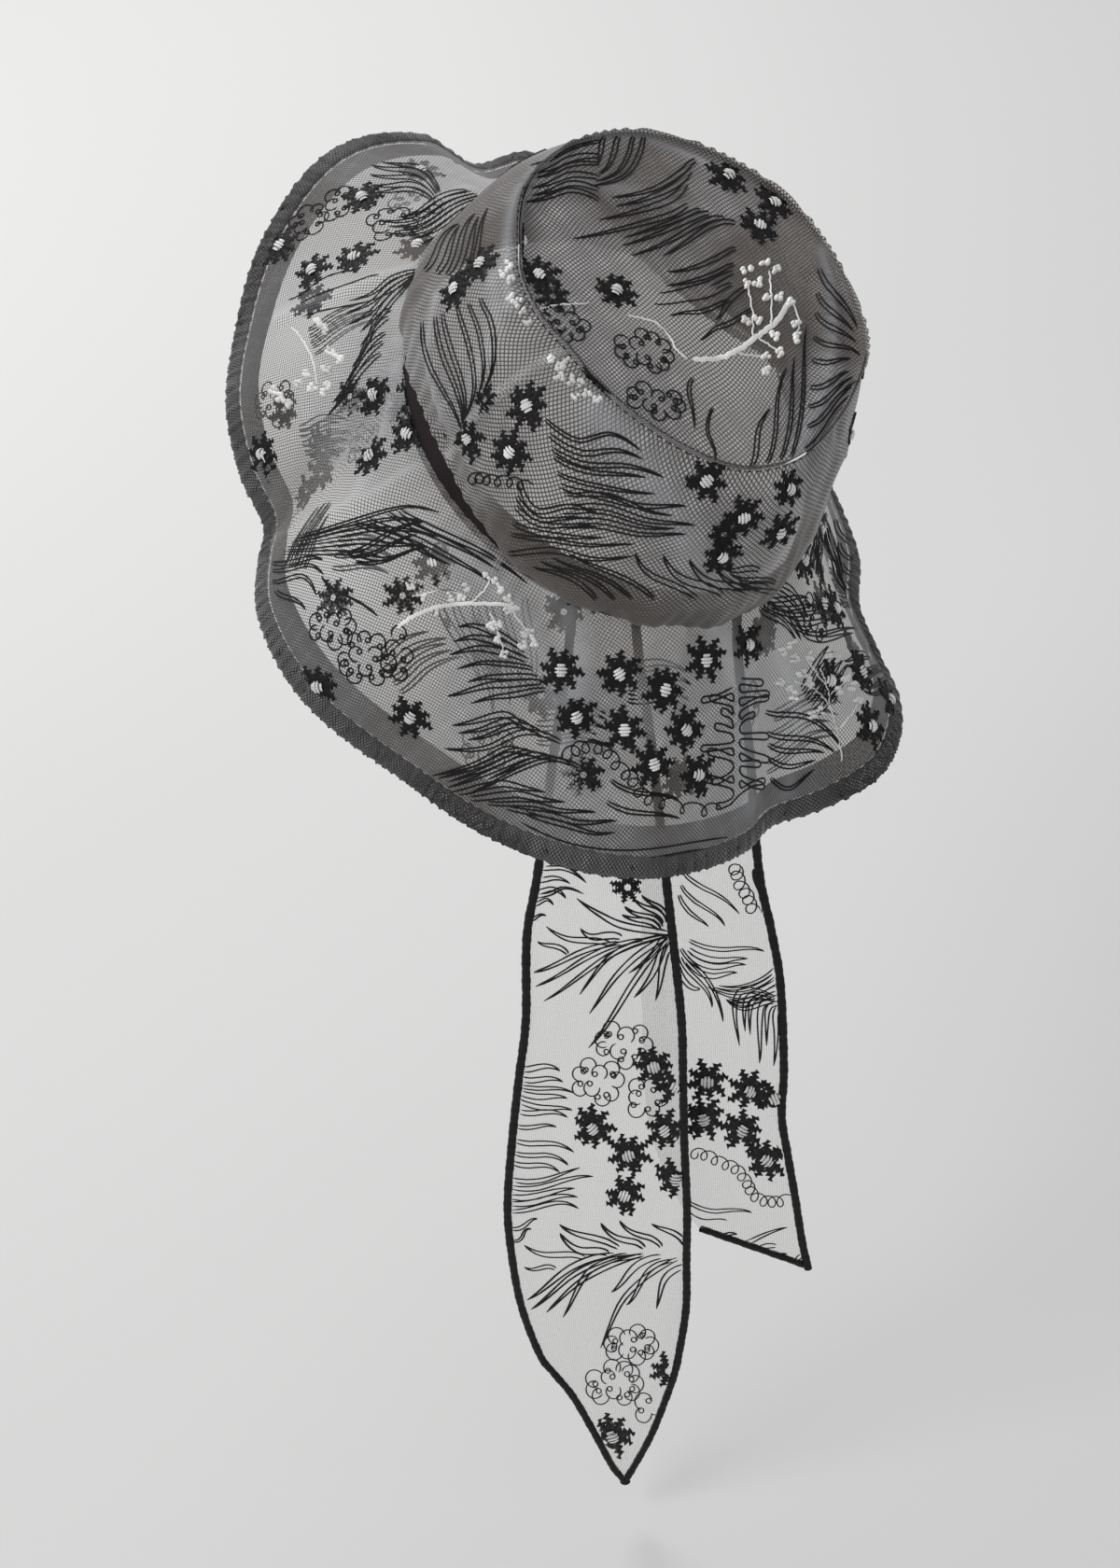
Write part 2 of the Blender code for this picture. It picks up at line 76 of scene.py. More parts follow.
# rise, taper, swell, gather, yields
CROWN_SECTIONS = np.array((
    (0.00, 0.00, 0.00, 0.0, 0.0), (0.05, 0.00, 0.62, 1.0, 1.0), (0.25, 0.00, 1.00, 0.7, 0.8),
    (0.48, 0.22, 1.00, 0.3, 0.3), (0.74, 0.53, 0.90, 0.0, 0.0), (0.92, 0.84, 0.50, 0.0, 0.0),
    (1.00, 1.00, 0.00, 0.0, 0.0)))
# azimuth, opening, tip, swell
CROWN_PLAN = np.array((
    (0, 0.925, 0.93, 0.10), (20, 0.960, 0.91, 0.30), (40, 0.990, 0.94, 0.70),
    (60, 1.000, 1.00, 1.00), (80, 1.000, 1.03, 1.00), (105, 1.000, 1.08, 1.00),
    (130, 1.000, 1.08, 1.00), (155, 1.000, 1.06, 1.00), (175, 1.000, 1.01, 1.00),
    (191, 1.000, 1.01, 1.00), (206, 1.000, 0.98, 1.00), (217, 1.000, 0.94, 1.00),
    (233, 1.000, 0.95, 1.00), (250, 1.000, 0.98, 1.00), (265, 1.000, 1.03, 1.00),
    (279, 1.000, 1.07, 1.00), (292, 1.000, 1.05, 0.95), (305, 0.988, 1.00, 0.65),
    (320, 0.953, 0.94, 0.25), (340, 0.917, 0.91, 0.00)))
# azimuth, droop, curl
BRIM_FOLDS = np.array((
    (0, 53, -34), (10, 52, -32), (20, 53, -26), (32, 53, -14), (47, 47, 0.01), (60, 49, 10),
    (75, 45, 14), (88, 33, 10), (97, 29, 6), (105, 34, 10), (114, 26, 4), (128, 26, 4),
    (142, 39, 12), (155, 52, 24), (168, 60, 28), (180, 69, 16), (188, 75, 6), (196, 72, 14),
    (210, 63, 30), (226, 58, 26), (246, 60, 28), (262, 50, 22), (277, 39, 12), (292, 43, 14),
    (301, 46, 18), (309, 50, 18), (316, 43, 10), (324, 35, -2), (332, 35, -14),
    (340, 39, -22), (348, 46, -30)), float)
# drop, left, right, slant, billow
LEFT_TIE_ROWS = np.array((
    (0.000, -0.18, 0.17, 0, 0.0), (0.070, -0.21, 0.21, 0, 0.0), (0.236, -0.32, 0.32, 0, 0.6),
    (0.307, -0.38, 0.37, 0, 0.9), (0.397, -0.39, 0.43, 0, 0.4), (0.463, -0.43, 0.45, 0, -0.4),
    (0.536, -0.47, 0.47, 0, -0.7), (0.616, -0.50, 0.50, 0, -0.2), (0.681, -0.48, 0.51, 0, 0.5),
    (0.747, -0.43, 0.52, 0, 0.9), (0.812, -0.33, 0.49, 0, 0.8), (0.838, -0.25, 0.47, 0, 0.7),
    (0.871, -0.14, 0.43, 0, 0.5), (0.926, -0.01, 0.35, 0, 0.3), (0.975, 0.10, 0.25, 0, 0.1),
    (1.000, 0.19, 0.19, 0, 0.0)))
RIGHT_TIE_ROWS = np.array((
    (0.000, -0.21, 0.21, 0.00, 0.0), (0.090, -0.26, 0.23, 0.00, 0.0),
    (0.327, -0.38, 0.35, 0.00, -0.5), (0.433, -0.39, 0.46, 0.00, -0.8),
    (0.518, -0.38, 0.54, 0.00, -0.3), (0.654, -0.35, 0.60, 0.00, 0.4),
    (0.734, -0.32, 0.61, 0.02, 0.7), (0.798, -0.26, 0.67, 0.08, 0.4),
    (0.863, -0.18, 0.74, 0.20, 0.0), (0.930, -0.06, 0.81, 0.35, -0.3),
    (0.975, 0.05, 0.87, 0.46, 0.0)))

LEAN = np.array((Matrix.Rotation(math.radians(LEAN_TO_BACK), 3, "X")
                 @ Matrix.Rotation(math.radians(LEAN_TO_RIGHT), 3, "Y")))


def cubic(a: Grid, b: Grid, c: Grid, d: Grid, share: Grid) -> Grid:
    """Return values between b and c, a share of the way along a smooth curve."""
    return 0.5 * (2 * b + (c - a) * share + (2 * a - 5 * b + 4 * c - d) * share ** 2
                  + (3 * b - a - 3 * c + d) * share ** 3)


def around(table: Grid, column: int, azimuth: Grid) -> Grid:
    """Read a table that runs once round the hat.

    Args:
        table: Rows whose first column is an azimuth in degrees.
        column: The column to read.
        azimuth: Azimuths in degrees.

    Returns:
        One value for each azimuth.
    """
    azimuth = np.mod(azimuth, 360.0)
    last = np.searchsorted(table[:, 0], azimuth, side="right") - 1
    count = len(table)
    span = np.mod(table[(last + 1) % count, 0] - table[last, 0], 360.0)
    four = [table[(last + step) % count, column] for step in (-1, 0, 1, 2)]
    return cubic(*four, (azimuth - table[last, 0]) / span)


def down(table: Grid, column: int, position: Grid) -> Grid:
    """Read a table that runs from end to end.

    Args:
        table: Rows in order.
        column: The column to read.
        position: Positions counted in rows.

    Returns:
        One value for each position.
    """
    top = len(table) - 1
    first = np.minimum(position.astype(int), top - 1)
    four = [table[np.clip(first + step, 0, top), column] for step in (-1, 0, 1, 2)]
    return cubic(*four, position - first)


def smooth(share: Grid) -> Grid:
    """Return shares that leave 0 and reach 1 without a corner."""
    share = np.clip(share, 0.0, 1.0)
    return share * share * (3 - 2 * share)


def curve(points: Sequence[Pixel], count: int) -> list[Pixel]:
    """Return a smooth line through a few flat points.

    Args:
        points: Two or more points.
        count: Number of steps between the first and the last.

    Returns:
        count + 1 points.
    """
    table = np.array(points, float)
    position = np.linspace(0, len(table) - 1, count + 1)
    if len(table) == 2:
        return [tuple(table[0] + (table[1] - table[0]) * share) for share in position]
    return list(zip(down(table, 0, position), down(table, 1, position)))


def polar(x: float, y: float, radius: float, angle: float) -> Pixel:
    """Return the point that lies a radius away from another one, at an angle in radians."""
    return x + radius * math.cos(angle), y + radius * math.sin(angle)


def opening_ring(azimuth: Grid, out: Grid, height: Grid) -> Grid:
    """Return points that stand out from the head opening.

    Args:
        azimuth: Azimuths in degrees.
        out: Distances outside the opening.
        height: Heights above the brim seam.

    Returns:
        Points in the upright hat's frame, on the last axis.
    """
    angle = np.radians(azimuth)
    reach = around(CROWN_PLAN, 1, azimuth)
    return np.stack(np.broadcast_arrays((OPENING_HALF_WIDTH * reach + out) * np.cos(angle),
                                        (OPENING_HALF_LENGTH * reach + out) * np.sin(angle),
                                        height), -1)


def brim_points(azimuth: Grid, along: Grid) -> Grid:
    """Return points on the middle of the brim, in the upright hat's frame.

    Args:
        azimuth: Azimuths in degrees.
        along: Distances along the cloth from the crown seam.

    Returns:
        Points on the last axis.
    """
    curl = np.radians(around(BRIM_FOLDS, 2, azimuth))
    curl = np.where(np.abs(curl) < 1e-4, 1e-4, curl)
    start = np.radians(around(BRIM_FOLDS, 1, azimuth)) - curl / 2
    turn = curl * along / BRIM_WIDTH
    bend = BRIM_WIDTH / curl
    out = BAND_WALL + CLEARANCE + NET_WALL / 2 + bend * (np.sin(start + turn) - np.sin(start))
    return opening_ring(azimuth, out, -bend * (np.cos(start) - np.cos(start + turn)))


def wrapped(azimuth: Grid, radius: float, length: Grid) -> Grid:
    """Return flat coordinates, in metres, of rows that run round the hat side by side."""
    turn = np.radians(np.append(azimuth, 360.0)) * radius
    return np.stack(np.broadcast_arrays(turn[None, :], length[:, None]), -1)


def spread_out(azimuth: Grid, reach: Grid) -> Grid:
    """Return flat coordinates, in metres, of rows that run round one inside the other."""
    turn = np.radians(np.append(azimuth, 360.0))[None, :]
    return np.stack((reach * np.cos(turn), reach * np.sin(turn)), -1)


@dataclass(frozen=True)
class Viewpoint:
    """The photograph's camera."""

    place: Triple = (-0.0247, -1.0447, 0.8362)
    pitch: float = 45.0
    lens: float = 75.0
    sensor: float = 36.0
    size: tuple[int, int] = (1200, 1680)

    @property
    def focal(self) -> float:
        """Return the focal length in pixels."""
        return self.lens / self.sensor * self.size[1]

    def ray(self, x: float, y: float) -> Vector:
        """Return the direction of a photograph pixel.

        Args:
            x: Pixels from the left.
            y: Pixels from the top.

        Returns:
            A unit vector from the camera.
        """
        flat = Vector(((x - self.size[0] / 2) / self.focal,
                       -(y - self.size[1] / 2) / self.focal, -1.0))
        return (Matrix.Rotation(math.radians(self.pitch), 3, "X") @ flat).normalized()

    def make(self) -> None:
        """Make the scene's camera."""
        data = bpy.data.cameras.new("photo_camera")
        data.lens, data.sensor_width = self.lens, self.sensor
        data.clip_end = 20.0
        camera = bpy.data.objects.new("photo_camera", data)
        camera.location = self.place
        camera.rotation_euler = (math.radians(self.pitch), 0.0, 0.0)
        bpy.context.scene.collection.objects.link(camera)
        bpy.context.scene.camera = camera


VIEW = Viewpoint()


class Wiring:
    """Adds nodes to one tree and joins them."""

    def __init__(self, tree: NodeTree) -> None:
        """Take the tree that the nodes go into."""
        self.tree = tree

    def feed(self, socket: NodeSocket, value: object) -> None:
        """Join a socket to an input, or set the input to a value.

        Args:
            socket: The input.
            value: The other socket, or the value.
        """
        if isinstance(value, NodeSocket):
            self.tree.links.new(value, socket)
        else:
            socket.default_value = value

    def add(self, kind: str, inputs: Optional[dict] = None, **settings: object) -> Node:
        """Add one node.

        Args:
            kind: Node type without its ShaderNode prefix.
            inputs: Values or sockets by input name or number.
            settings: Properties of the node.

        Returns:
            The new node.
        """
        node = self.tree.nodes.new("ShaderNode" + kind)
        for name, value in settings.items():
            setattr(node, name, value)
        for name, value in (inputs or {}).items():
            self.feed(node.inputs[name], value)
        return node

    def group(self, tree: NodeTree, inputs: dict) -> Node:
        """Place a shared node group with its inputs."""
        return self.add("Group", inputs, node_tree=tree)

    def math(self, operation: str, *values: object) -> NodeSocket:
        """Return the output of a Math node over values or sockets."""
        return self.add("Math", dict(enumerate(values)), operation=operation).outputs[0]

    def toned(self, colour: object, tone: NodeSocket) -> NodeSocket:
        """Return a colour made lighter and darker by a tone."""
        return self.add("VectorMath", {0: colour, "Scale": tone}, operation="SCALE").outputs[0]

    def spread(self, value: NodeSocket, low: object, high: object,
               to_low: float = 0.0, to_high: float = 1.0) -> NodeSocket:
        """Return a value mapped smoothly from one range to another.

        Args:
            value: The socket to map.
            low, high: Range that it comes from.
            to_low, to_high: Range that it goes to.

        Returns:
            The mapped socket.
        """
        node = self.add("MapRange", {"Value": value, "From Min": low, "From Max": high,
                                     "To Min": to_low, "To Max": to_high},
                        interpolation_type="SMOOTHSTEP")
        return node.outputs["Result"]

    def blend(self, share: object, first: object, second: object) -> NodeSocket:
        """Return a colour between two colours.

        Args:
            share: Share of the second colour.
            first, second: Colours or sockets.

        Returns:
            The mixed colour's socket.
        """
        node = self.add("Mix", data_type="RGBA")
        sockets = {socket.identifier: socket for socket in (*node.inputs, *node.outputs)}
        for name, value in (("Factor_Float", share), ("A_Color", first), ("B_Color", second)):
            self.feed(sockets[name], value)
        return sockets["Result_Color"]


class Effects:
    """The node groups that several materials share, each built once."""

    softness = 0.10      # share of a cell over which the side of a net's thread fades
    sway_rate = 310.0    # radians of sway for each metre along a net's thread

    def __init__(self) -> None:
        """Build each group."""
        self.net_weave = self._net_weave()
        self.cloth_tone = self._cloth_tone()
        self.thread_ply = self._thread_ply()

    @staticmethod
    def _open(name: str, inputs: Iterable[tuple[str, str, float]],
              outputs: Iterable[str]) -> tuple[Wiring, Node, Node]:
        """Start a node group.

        Args:
            name: Name of the group.
            inputs: Name, kind and default of each input.
            outputs: Names of the outputs.

        Returns:
            Its wiring, its input node and its output node.
        """
        tree = bpy.data.node_groups.new(name, "ShaderNodeTree")
        for label, kind, value in inputs:
            socket = tree.interface.new_socket(label, in_out="INPUT",
                                               socket_type="NodeSocket" + kind)
            if kind == "Float":
                socket.default_value = value
        for label in outputs:
            tree.interface.new_socket(label, in_out="OUTPUT", socket_type="NodeSocketFloat")
        start, end = tree.nodes.new("NodeGroupInput"), tree.nodes.new("NodeGroupOutput")
        return Wiring(tree), start, end

    def _net_weave(self) -> NodeTree:
        """Build the mask of the square net's threads.

        Returns:
            The group, which puts out the Mask.
        """
        wiring, start, end = self._open("net_weave", (
            ("Flat", "Vector", 0), ("Pitch", "Float", 0.0016), ("Thread", "Float", 0.35),
            ("Angle", "Float", 0.0), ("Waver", "Float", 0.2)), ("Mask",))
        turned = wiring.add("VectorRotate", {"Vector": start.outputs["Flat"],
                                             "Angle": start.outputs["Angle"]},
                            rotation_type="Z_AXIS")
        axes = wiring.add("SeparateXYZ", {"Vector": turned.outputs[0]})
        low = wiring.math("SUBTRACT", start.outputs["Thread"], self.softness)
        high = wiring.math("ADD", start.outputs["Thread"], self.softness)
        amount = wiring.math("MULTIPLY", start.outputs["Waver"], start.outputs["Pitch"])
        masks = []
        for axis, other in (("X", "Y"), ("Y", "X")):
            sway = wiring.math("SINE", wiring.math("MULTIPLY", axes.outputs[other],
                                                   self.sway_rate))
            moved = wiring.math("ADD", axes.outputs[axis], wiring.math("MULTIPLY", sway, amount))
            cell = wiring.math("FRACT", wiring.math("DIVIDE", moved, start.outputs["Pitch"]))
            away = wiring.math("MULTIPLY", wiring.math("ABSOLUTE",
                                                       wiring.math("SUBTRACT", cell, 0.5)), 2.0)
            masks.append(wiring.spread(away, low, high, 1.0, 0.0))
        wiring.tree.links.new(wiring.math("MAXIMUM", *masks), end.inputs["Mask"])
        return wiring.tree

    def _cloth_tone(self) -> NodeTree:
        """Build the uneven tone of worn cloth.

        Returns:
            The group, which puts out the Tone.
        """
        wiring, start, end = self._open("cloth_tone", (
            ("Place", "Vector", 0), ("Scale", "Float", 18.0), ("Strength", "Float", 0.2)),
            ("Tone",))
        soft = wiring.add("TexNoise", {"Vector": start.outputs["Place"],
                                       "Scale": start.outputs["Scale"], "Detail": 0.0})
        centred = wiring.math("SUBTRACT", soft.outputs[0], 0.5)
        swing = wiring.math("MULTIPLY", wiring.math("MULTIPLY", centred, 2.0),
                            start.outputs["Strength"])
        wiring.tree.links.new(wiring.math("ADD", swing, 1.0), end.inputs["Tone"])
        return wiring.tree

    def _thread_ply(self) -> NodeTree:
        """Build twisted thread's slanting plies: painted light on crests, painted shade between.

        Returns:
            The group, which puts out the plies' painted light and their Height.
        """
        wiring, start, end = self._open("thread_ply", (
            ("Flat", "Vector", 0), ("Twist", "Float", 0.0009), ("Slant", "Float", 0.5)),
            ("Painted Light", "Height"))
        axes = wiring.add("SeparateXYZ", {"Vector": start.outputs["Flat"]})
        along = wiring.math("DIVIDE", axes.outputs["X"], start.outputs["Twist"])
        across = wiring.math("MULTIPLY", axes.outputs["Y"], start.outputs["Slant"])
        wave = wiring.math("SINE", wiring.math("MULTIPLY", wiring.math("ADD", along, across),
                                               2 * math.pi))
        relief_and_light = wiring.spread(wave, -1.0, 1.0)
        wiring.tree.links.new(relief_and_light, end.inputs["Painted Light"])
        wiring.tree.links.new(wiring.math("POWER", relief_and_light, 0.6), end.inputs["Height"])
        return wiring.tree


EFFECTS = Effects()


def principled(name: str, values: dict[str, float]) -> tuple[Material, Wiring, Node]:
    """Start a Principled material.

    Args:
        name: Name of the material.
        values: What is the same all over it, by input name.

    Returns:
        The material, its wiring and its shader.
    """
    material = bpy.data.materials.new(name)
    material.use_nodes = True
    shader = material.node_tree.nodes["Principled BSDF"]
    for label, value in values.items():
        shader.inputs[label].default_value = value
    return material, Wiring(material.node_tree), shader


def worn_tone(wiring: Wiring, scale: float, strength: float) -> NodeSocket:
    """Place the uneven tone of worn cloth in a material.

    Args:
        wiring: The material's wiring.
        scale: How fine the patches are.
        strength: How far the tone swings from 1.

    Returns:
        The tone's socket.
    """
    place = wiring.add("TexCoord").outputs["Object"]
    return wiring.group(EFFECTS.cloth_tone, {"Place": place, "Scale": scale,
                                             "Strength": strength}).outputs["Tone"]


@dataclass(frozen=True)
class NetFinish:
    """A sheer double net: dark threads over the paler haze of the layer behind."""

    name: str
    thread: Triple
    warm: Triple
    cool: Triple
    pitch: float                       # metres from one thread to the next
    width: float                       # a thread's share of the pitch
    angle: float                       # degrees
    haze: float                        # cover between the threads
    solid: float                       # cover on the threads
    waver: float = 0.12
    sheen: float = 0.25
    highlight_colour: Triple = (0.36, 0.37, 0.39)  # painted highlight along a raised crease
    behind: Pixel = (1.04, 7.0)        # pitch and turn of the layer behind, beside this one's
    behind_shade: float = 0.55
    patches: Pixel = (22.0, 1.0)       # scale and strength of the worn tone
    warm_to_cool: Pixel = (0.75, 1.25)           # tones where it is all warm and all cool
    thin_to_thick: Sequence[float] = (0.7, 1.3, 0.75, 1.2)    # two tones, and the haze at each

    def material(self) -> Material:
        """Build the material.

        Returns:
            The net's material, see-through by its Alpha.
        """
        material, wiring, shader = principled(self.name, {
            "Roughness": 0.62, "Specular IOR Level": 0.3, "Sheen Weight": self.sheen,
            "Sheen Roughness": 0.4})
        flat = wiring.add("UVMap", uv_map="cloth").outputs[0]
        front, behind = (wiring.group(EFFECTS.net_weave, {
            "Flat": flat, "Pitch": self.pitch * pitch, "Thread": self.width,
            "Angle": math.radians(self.angle + turn), "Waver": self.waver}).outputs["Mask"]
            for pitch, turn in ((1.0, 0.0), self.behind))
        tone = worn_tone(wiring, *self.patches)
        colour = wiring.blend(wiring.spread(tone, *self.warm_to_cool), (*self.warm, 1),
                              (*self.cool, 1))
        shade = wiring.math("MULTIPLY", behind, self.behind_shade)
        for mask in (shade, front):
            colour = wiring.blend(mask, colour, (*self.thread, 1))
        # Painted highlight along raised creases, mixed in by the pale share
        pale, cover = (wiring.add("Attribute", attribute_name=name).outputs["Fac"]
                       for name in ("pale", "cover"))
        wiring.feed(shader.inputs["Base Color"], wiring.blend(pale, colour, (*self.highlight_colour, 1)))
        haze = wiring.math("MULTIPLY", wiring.math("MULTIPLY", cover, self.haze),
                           wiring.spread(tone, *self.thin_to_thick))
        haze = wiring.math("MINIMUM", haze, self.solid)
        rest = wiring.math("MULTIPLY", front, wiring.math("SUBTRACT", self.solid, haze))
        wiring.feed(shader.inputs["Alpha"], wiring.math("ADD", haze, rest))
        return material


@dataclass(frozen=True)
class PlyFinish:
    """Twisted thread, dull or shining, or straight ribbon ribs; painted light on crests, shade in
    grooves.
    """

    name: str
    # Painted shade in the grooves, then painted light on the crests
    groove_shade: Triple
    lit: Triple
    roughness: float
    metallic: float = 0.0
    twist: float = 0.0009
    slant: float = 0.5
    tone: Pixel = (120.0, 0.35)        # scale and strength
    relief: Pixel = (0.00015, 0.7)     # distance and strength
    specular: float = 0.22

    def material(self) -> Material:
        """Build the material.

        Returns:
            The material, ribbed along the flat coordinates.
        """
        material, wiring, shader = principled(self.name, {
            "Roughness": self.roughness, "Metallic": self.metallic,
            "Specular IOR Level": self.specular})
        flat = wiring.add("UVMap", uv_map="cloth").outputs[0]
        ply = wiring.group(EFFECTS.thread_ply, {"Flat": flat, "Twist": self.twist,
                                                "Slant": self.slant})
        # Painted shade in the grooves and painted light on the crests, along the ply wave
        colour = wiring.blend(ply.outputs["Painted Light"], (*self.groove_shade, 1), (*self.lit, 1))
        bump = wiring.add("Bump", {"Height": ply.outputs["Height"],
                                   "Distance": self.relief[0], "Strength": self.relief[1]})
        wiring.feed(shader.inputs["Base Color"],
                    wiring.toned(colour, worn_tone(wiring, *self.tone)))
        wiring.feed(shader.inputs["Normal"], bump.outputs[0])
        return material


CROWN_NET = NetFinish("crown_net", (0.05, 0.044, 0.041), (0.29, 0.252, 0.224),
                      (0.475, 0.462, 0.455), 0.0015, 0.31, 38.0, 0.80, 0.97, sheen=0.35)
BRIM_NET = NetFinish("brim_net", (0.055, 0.052, 0.052), (0.275, 0.236, 0.205),
                     (0.46, 0.455, 0.452), 0.0013, 0.26, 20.0, 0.55, 0.92, sheen=0.3)
FACING_NET = NetFinish("facing_net", (0.018, 0.018, 0.02), (0.045, 0.043, 0.044),
                       (0.075, 0.076, 0.08), 0.0010, 0.42, 8.0, 0.80, 0.98)
HEM_NET = NetFinish("hem_net", (0.02, 0.019, 0.019), (0.07, 0.065, 0.062), (0.23, 0.23, 0.232),
                    0.0012, 0.34, 40.0, 0.80, 0.98, sheen=0.3)
TIE_NET = NetFinish("tie_net", (0.5, 0.49, 0.47), (0.66, 0.65, 0.63), (0.74, 0.74, 0.74),
                    0.0009, 0.2, 4.0, 0.07, 0.30)
BLACK_THREAD = PlyFinish("black_thread", (0.003, 0.003, 0.003), (0.014, 0.012, 0.013), 0.5)
SILVER_THREAD = PlyFinish("silver_thread", (0.66, 0.655, 0.63), (0.98, 0.975, 0.95), 0.36, 0.0,
                          0.0010)
CORD_THREAD = PlyFinish("silver_cord", (0.30, 0.29, 0.28), (0.6, 0.59, 0.57), 0.4, 0.2)
EDGING_THREAD = PlyFinish("edging_thread", (0.0025, 0.0025, 0.003), (0.012, 0.0115, 0.012),
                          0.6, 0.0, 0.0016)
RIBBON = PlyFinish("band_ribbon", (0.009, 0.006, 0.006), (0.027, 0.019, 0.020), 0.8, 0.0, 0.0008,
                   0.0, (40.0, 0.4), (0.0002, 1.0), 0.2)


FULL_HIGHLIGHT_HEIGHT = 0.0028    # a crease this high gets the full painted highlight
HELD_ROWS = 7            # rows over which creases fade towards a net's sewn edges
FAR_FROM_NET = 0.012     # flat points further than this from the net are past its edge


@dataclass
class Crease:
    """A fold in a net, traced on the photograph."""

    line: Sequence[Pixel]
    height: float            # metres out of the cloth, negative for a dent
    reach: float             # half width, metres


@dataclass
class Panel:
    """One net on a fine grid of rows and columns."""

    name: str
    points: Grid    # rows x columns x 3, world
    flat: Grid      # rows x (columns, one more where closed) x 2, metres
    closed: bool
    turn: float              # 1 where columns x rows points out of the cloth, or else -1
    capped: bool = False
    cover: Grid | float = 1.0    # share of the finish's haze, at each point or all over
    pale: Grid | float = 0.0     # share of the painted highlight along raised creases
    tree: Optional[BVHTree] = None

    def normals(self) -> Grid:
        """Return the grid's normals.

        Returns:
            A unit vector for each point.
        """
        along = np.gradient(self.points, axis=0)
        if self.closed:
            across = np.roll(self.points, -1, 1) - np.roll(self.points, 1, 1)
        else:
            across = np.gradient(self.points, axis=1)
        normal = np.cross(across, along) * self.turn
        return normal / np.maximum(np.linalg.norm(normal, axis=-1, keepdims=True), 1e-12)

    def cells(self) -> list[tuple[Place, ...]]:
        """Return the row and column of each face's corners, each face turned outwards.

        Returns:
            Four pairs for each face.
        """
        rows, columns = self.points.shape[:2]
        cells = [((row, column), (row, column + 1), (row + 1, column + 1), (row + 1, column))
                 for row in range(rows - 1)
                 for column in range(columns if self.closed else columns - 1)]
        return cells if self.turn > 0 else [cell[::-1] for cell in cells]

    def faces(self) -> list[tuple[int, ...]]:
        """Return the grid's faces; a closed grid's last column meets its first."""
        count = self.points.shape[1]
        return [tuple(row * count + column % count for row, column in cell)
                for cell in self.cells()]

    def settle(self) -> None:
        """Make the search tree of the shape as it now is."""
        flat = self.points.reshape(-1, 3)
        self.tree = BVHTree.FromPolygons([Vector(point) for point in flat], self.faces())

    def crease(self, creases: Sequence[Crease], ground: "PhotoGround") -> None:
        """Press traced folds into the net, and paint a highlight along the raised ones.

        Args:
            creases: The folds.
            ground: What finds their places on the net.
        """
        normal = self.normals()
        shift = np.zeros(self.points.shape[:2])
        for crease in creases:
            laid = [ground.lay(*pixel) for pixel in curve(crease.line, 28)]
            places = np.array([place[0] for place in laid if place])
            if not len(places):
                continue
            nearest = np.full(shift.shape, 9.0)
            for place in places:
                nearest = np.minimum(nearest, ((self.points - place) ** 2).sum(-1))
            close = np.exp(-nearest / crease.reach ** 2)
            shift += 1.5 * crease.height * close
            # Painted highlight along each raised crease
            self.pale = np.maximum(self.pale, close ** 2 * max(crease.height, 0.0) / FULL_HIGHLIGHT_HEIGHT)
        rows = np.arange(len(shift))
        held = smooth(np.minimum(rows, len(shift) - 1 - rows) / HELD_ROWS)
        self.points = self.points + normal * (shift * held[:, None])[..., None]

    def lift(self, distance: Grid) -> None:
        """Move the net along its normals by a distance at each point."""
        self.points = self.points + self.normals() * distance[..., None]

    def make(self, finish: Material) -> Object:
        """Make the net's object.

        Args:
            finish: Its material.

        Returns:
            The new object.
        """
        rows, columns = self.points.shape[:2]
        points, faces = [tuple(point) for point in self.points.reshape(-1, 3)], self.faces()
        corners = [self.flat[place] for cell in self.cells() for place in cell]
        cover, pale = (np.broadcast_to(share, (rows, columns)).reshape(-1)
                       for share in (self.cover, self.pale))
        if self.capped:
            order, middle = (1 if self.turn > 0 else -1), len(points)
            points.append(tuple(self.points[0].mean(0)))
            cover, pale = np.append(cover, cover[0]), np.append(pale, 0.0)
            for column in range(columns):
                faces.append((column, middle, (column + 1) % columns)[::order])
                corners += [self.flat[0, column], (0.0, 0.0), self.flat[0, column + 1]][::order]
        return make_object(self.name, points, faces, corners, finish,
                           {"cover": cover, "pale": pale})

    def spot(self, row: float, column: float, angle: float) -> "ClothGround":
        """Return a place on the net by shares of its grid.

        Args:
            row: Share of the way down the rows.
            column: Share of the way along the columns.
            angle: How far the motif is turned there, degrees.

        Returns:
            The ground for a motif.
        """
        rows, columns = self.points.shape[:2]
        r, c = int(row * (rows - 1)), int(column * (columns - 1))
        normal = Vector(self.normals()[r, c])
        return ClothGround.at(self, Vector(self.points[r, c]), normal, angle)


def laid_along(panel: Panel, normals: Grid, places: Iterable[Place]) -> list[Laid]:
    """Return a net's grid points, given by row and column, with their normals."""
    return [(Vector(panel.points[place]), Vector(normals[place])) for place in places]


def make_object(name: str, points: Sequence, faces: Sequence, corners: Sequence,
                finish: Material, shares: Optional[dict] = None) -> Object:
    """Make one smooth object with its flat coordinates.

    Args:
        name: Name of the piece.
        points: Its corners.
        faces: Its faces.
        corners: Flat coordinates of every face corner in turn.
        finish: Its material.
        shares: Named values for every point.

    Returns:
        The new object, riding on the hat.
    """
    mesh = bpy.data.meshes.new(name)
    mesh.from_pydata(points, [], faces)
    layer = mesh.uv_layers.new(name="cloth")
    layer.data.foreach_set("uv", np.asarray(corners, float).reshape(-1))
    for label, values in (shares or {}).items():
        attribute = mesh.attributes.new(label, "FLOAT", "POINT")
        attribute.data.foreach_set("value", np.asarray(values, float))
    mesh.shade_smooth()
    mesh.materials.append(finish)
    piece = bpy.data.objects.new(name, mesh)
    bpy.context.scene.collection.objects.link(piece)
    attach(piece, "root")
    LOG.info("%s: %d faces", name, len(faces))
    return piece


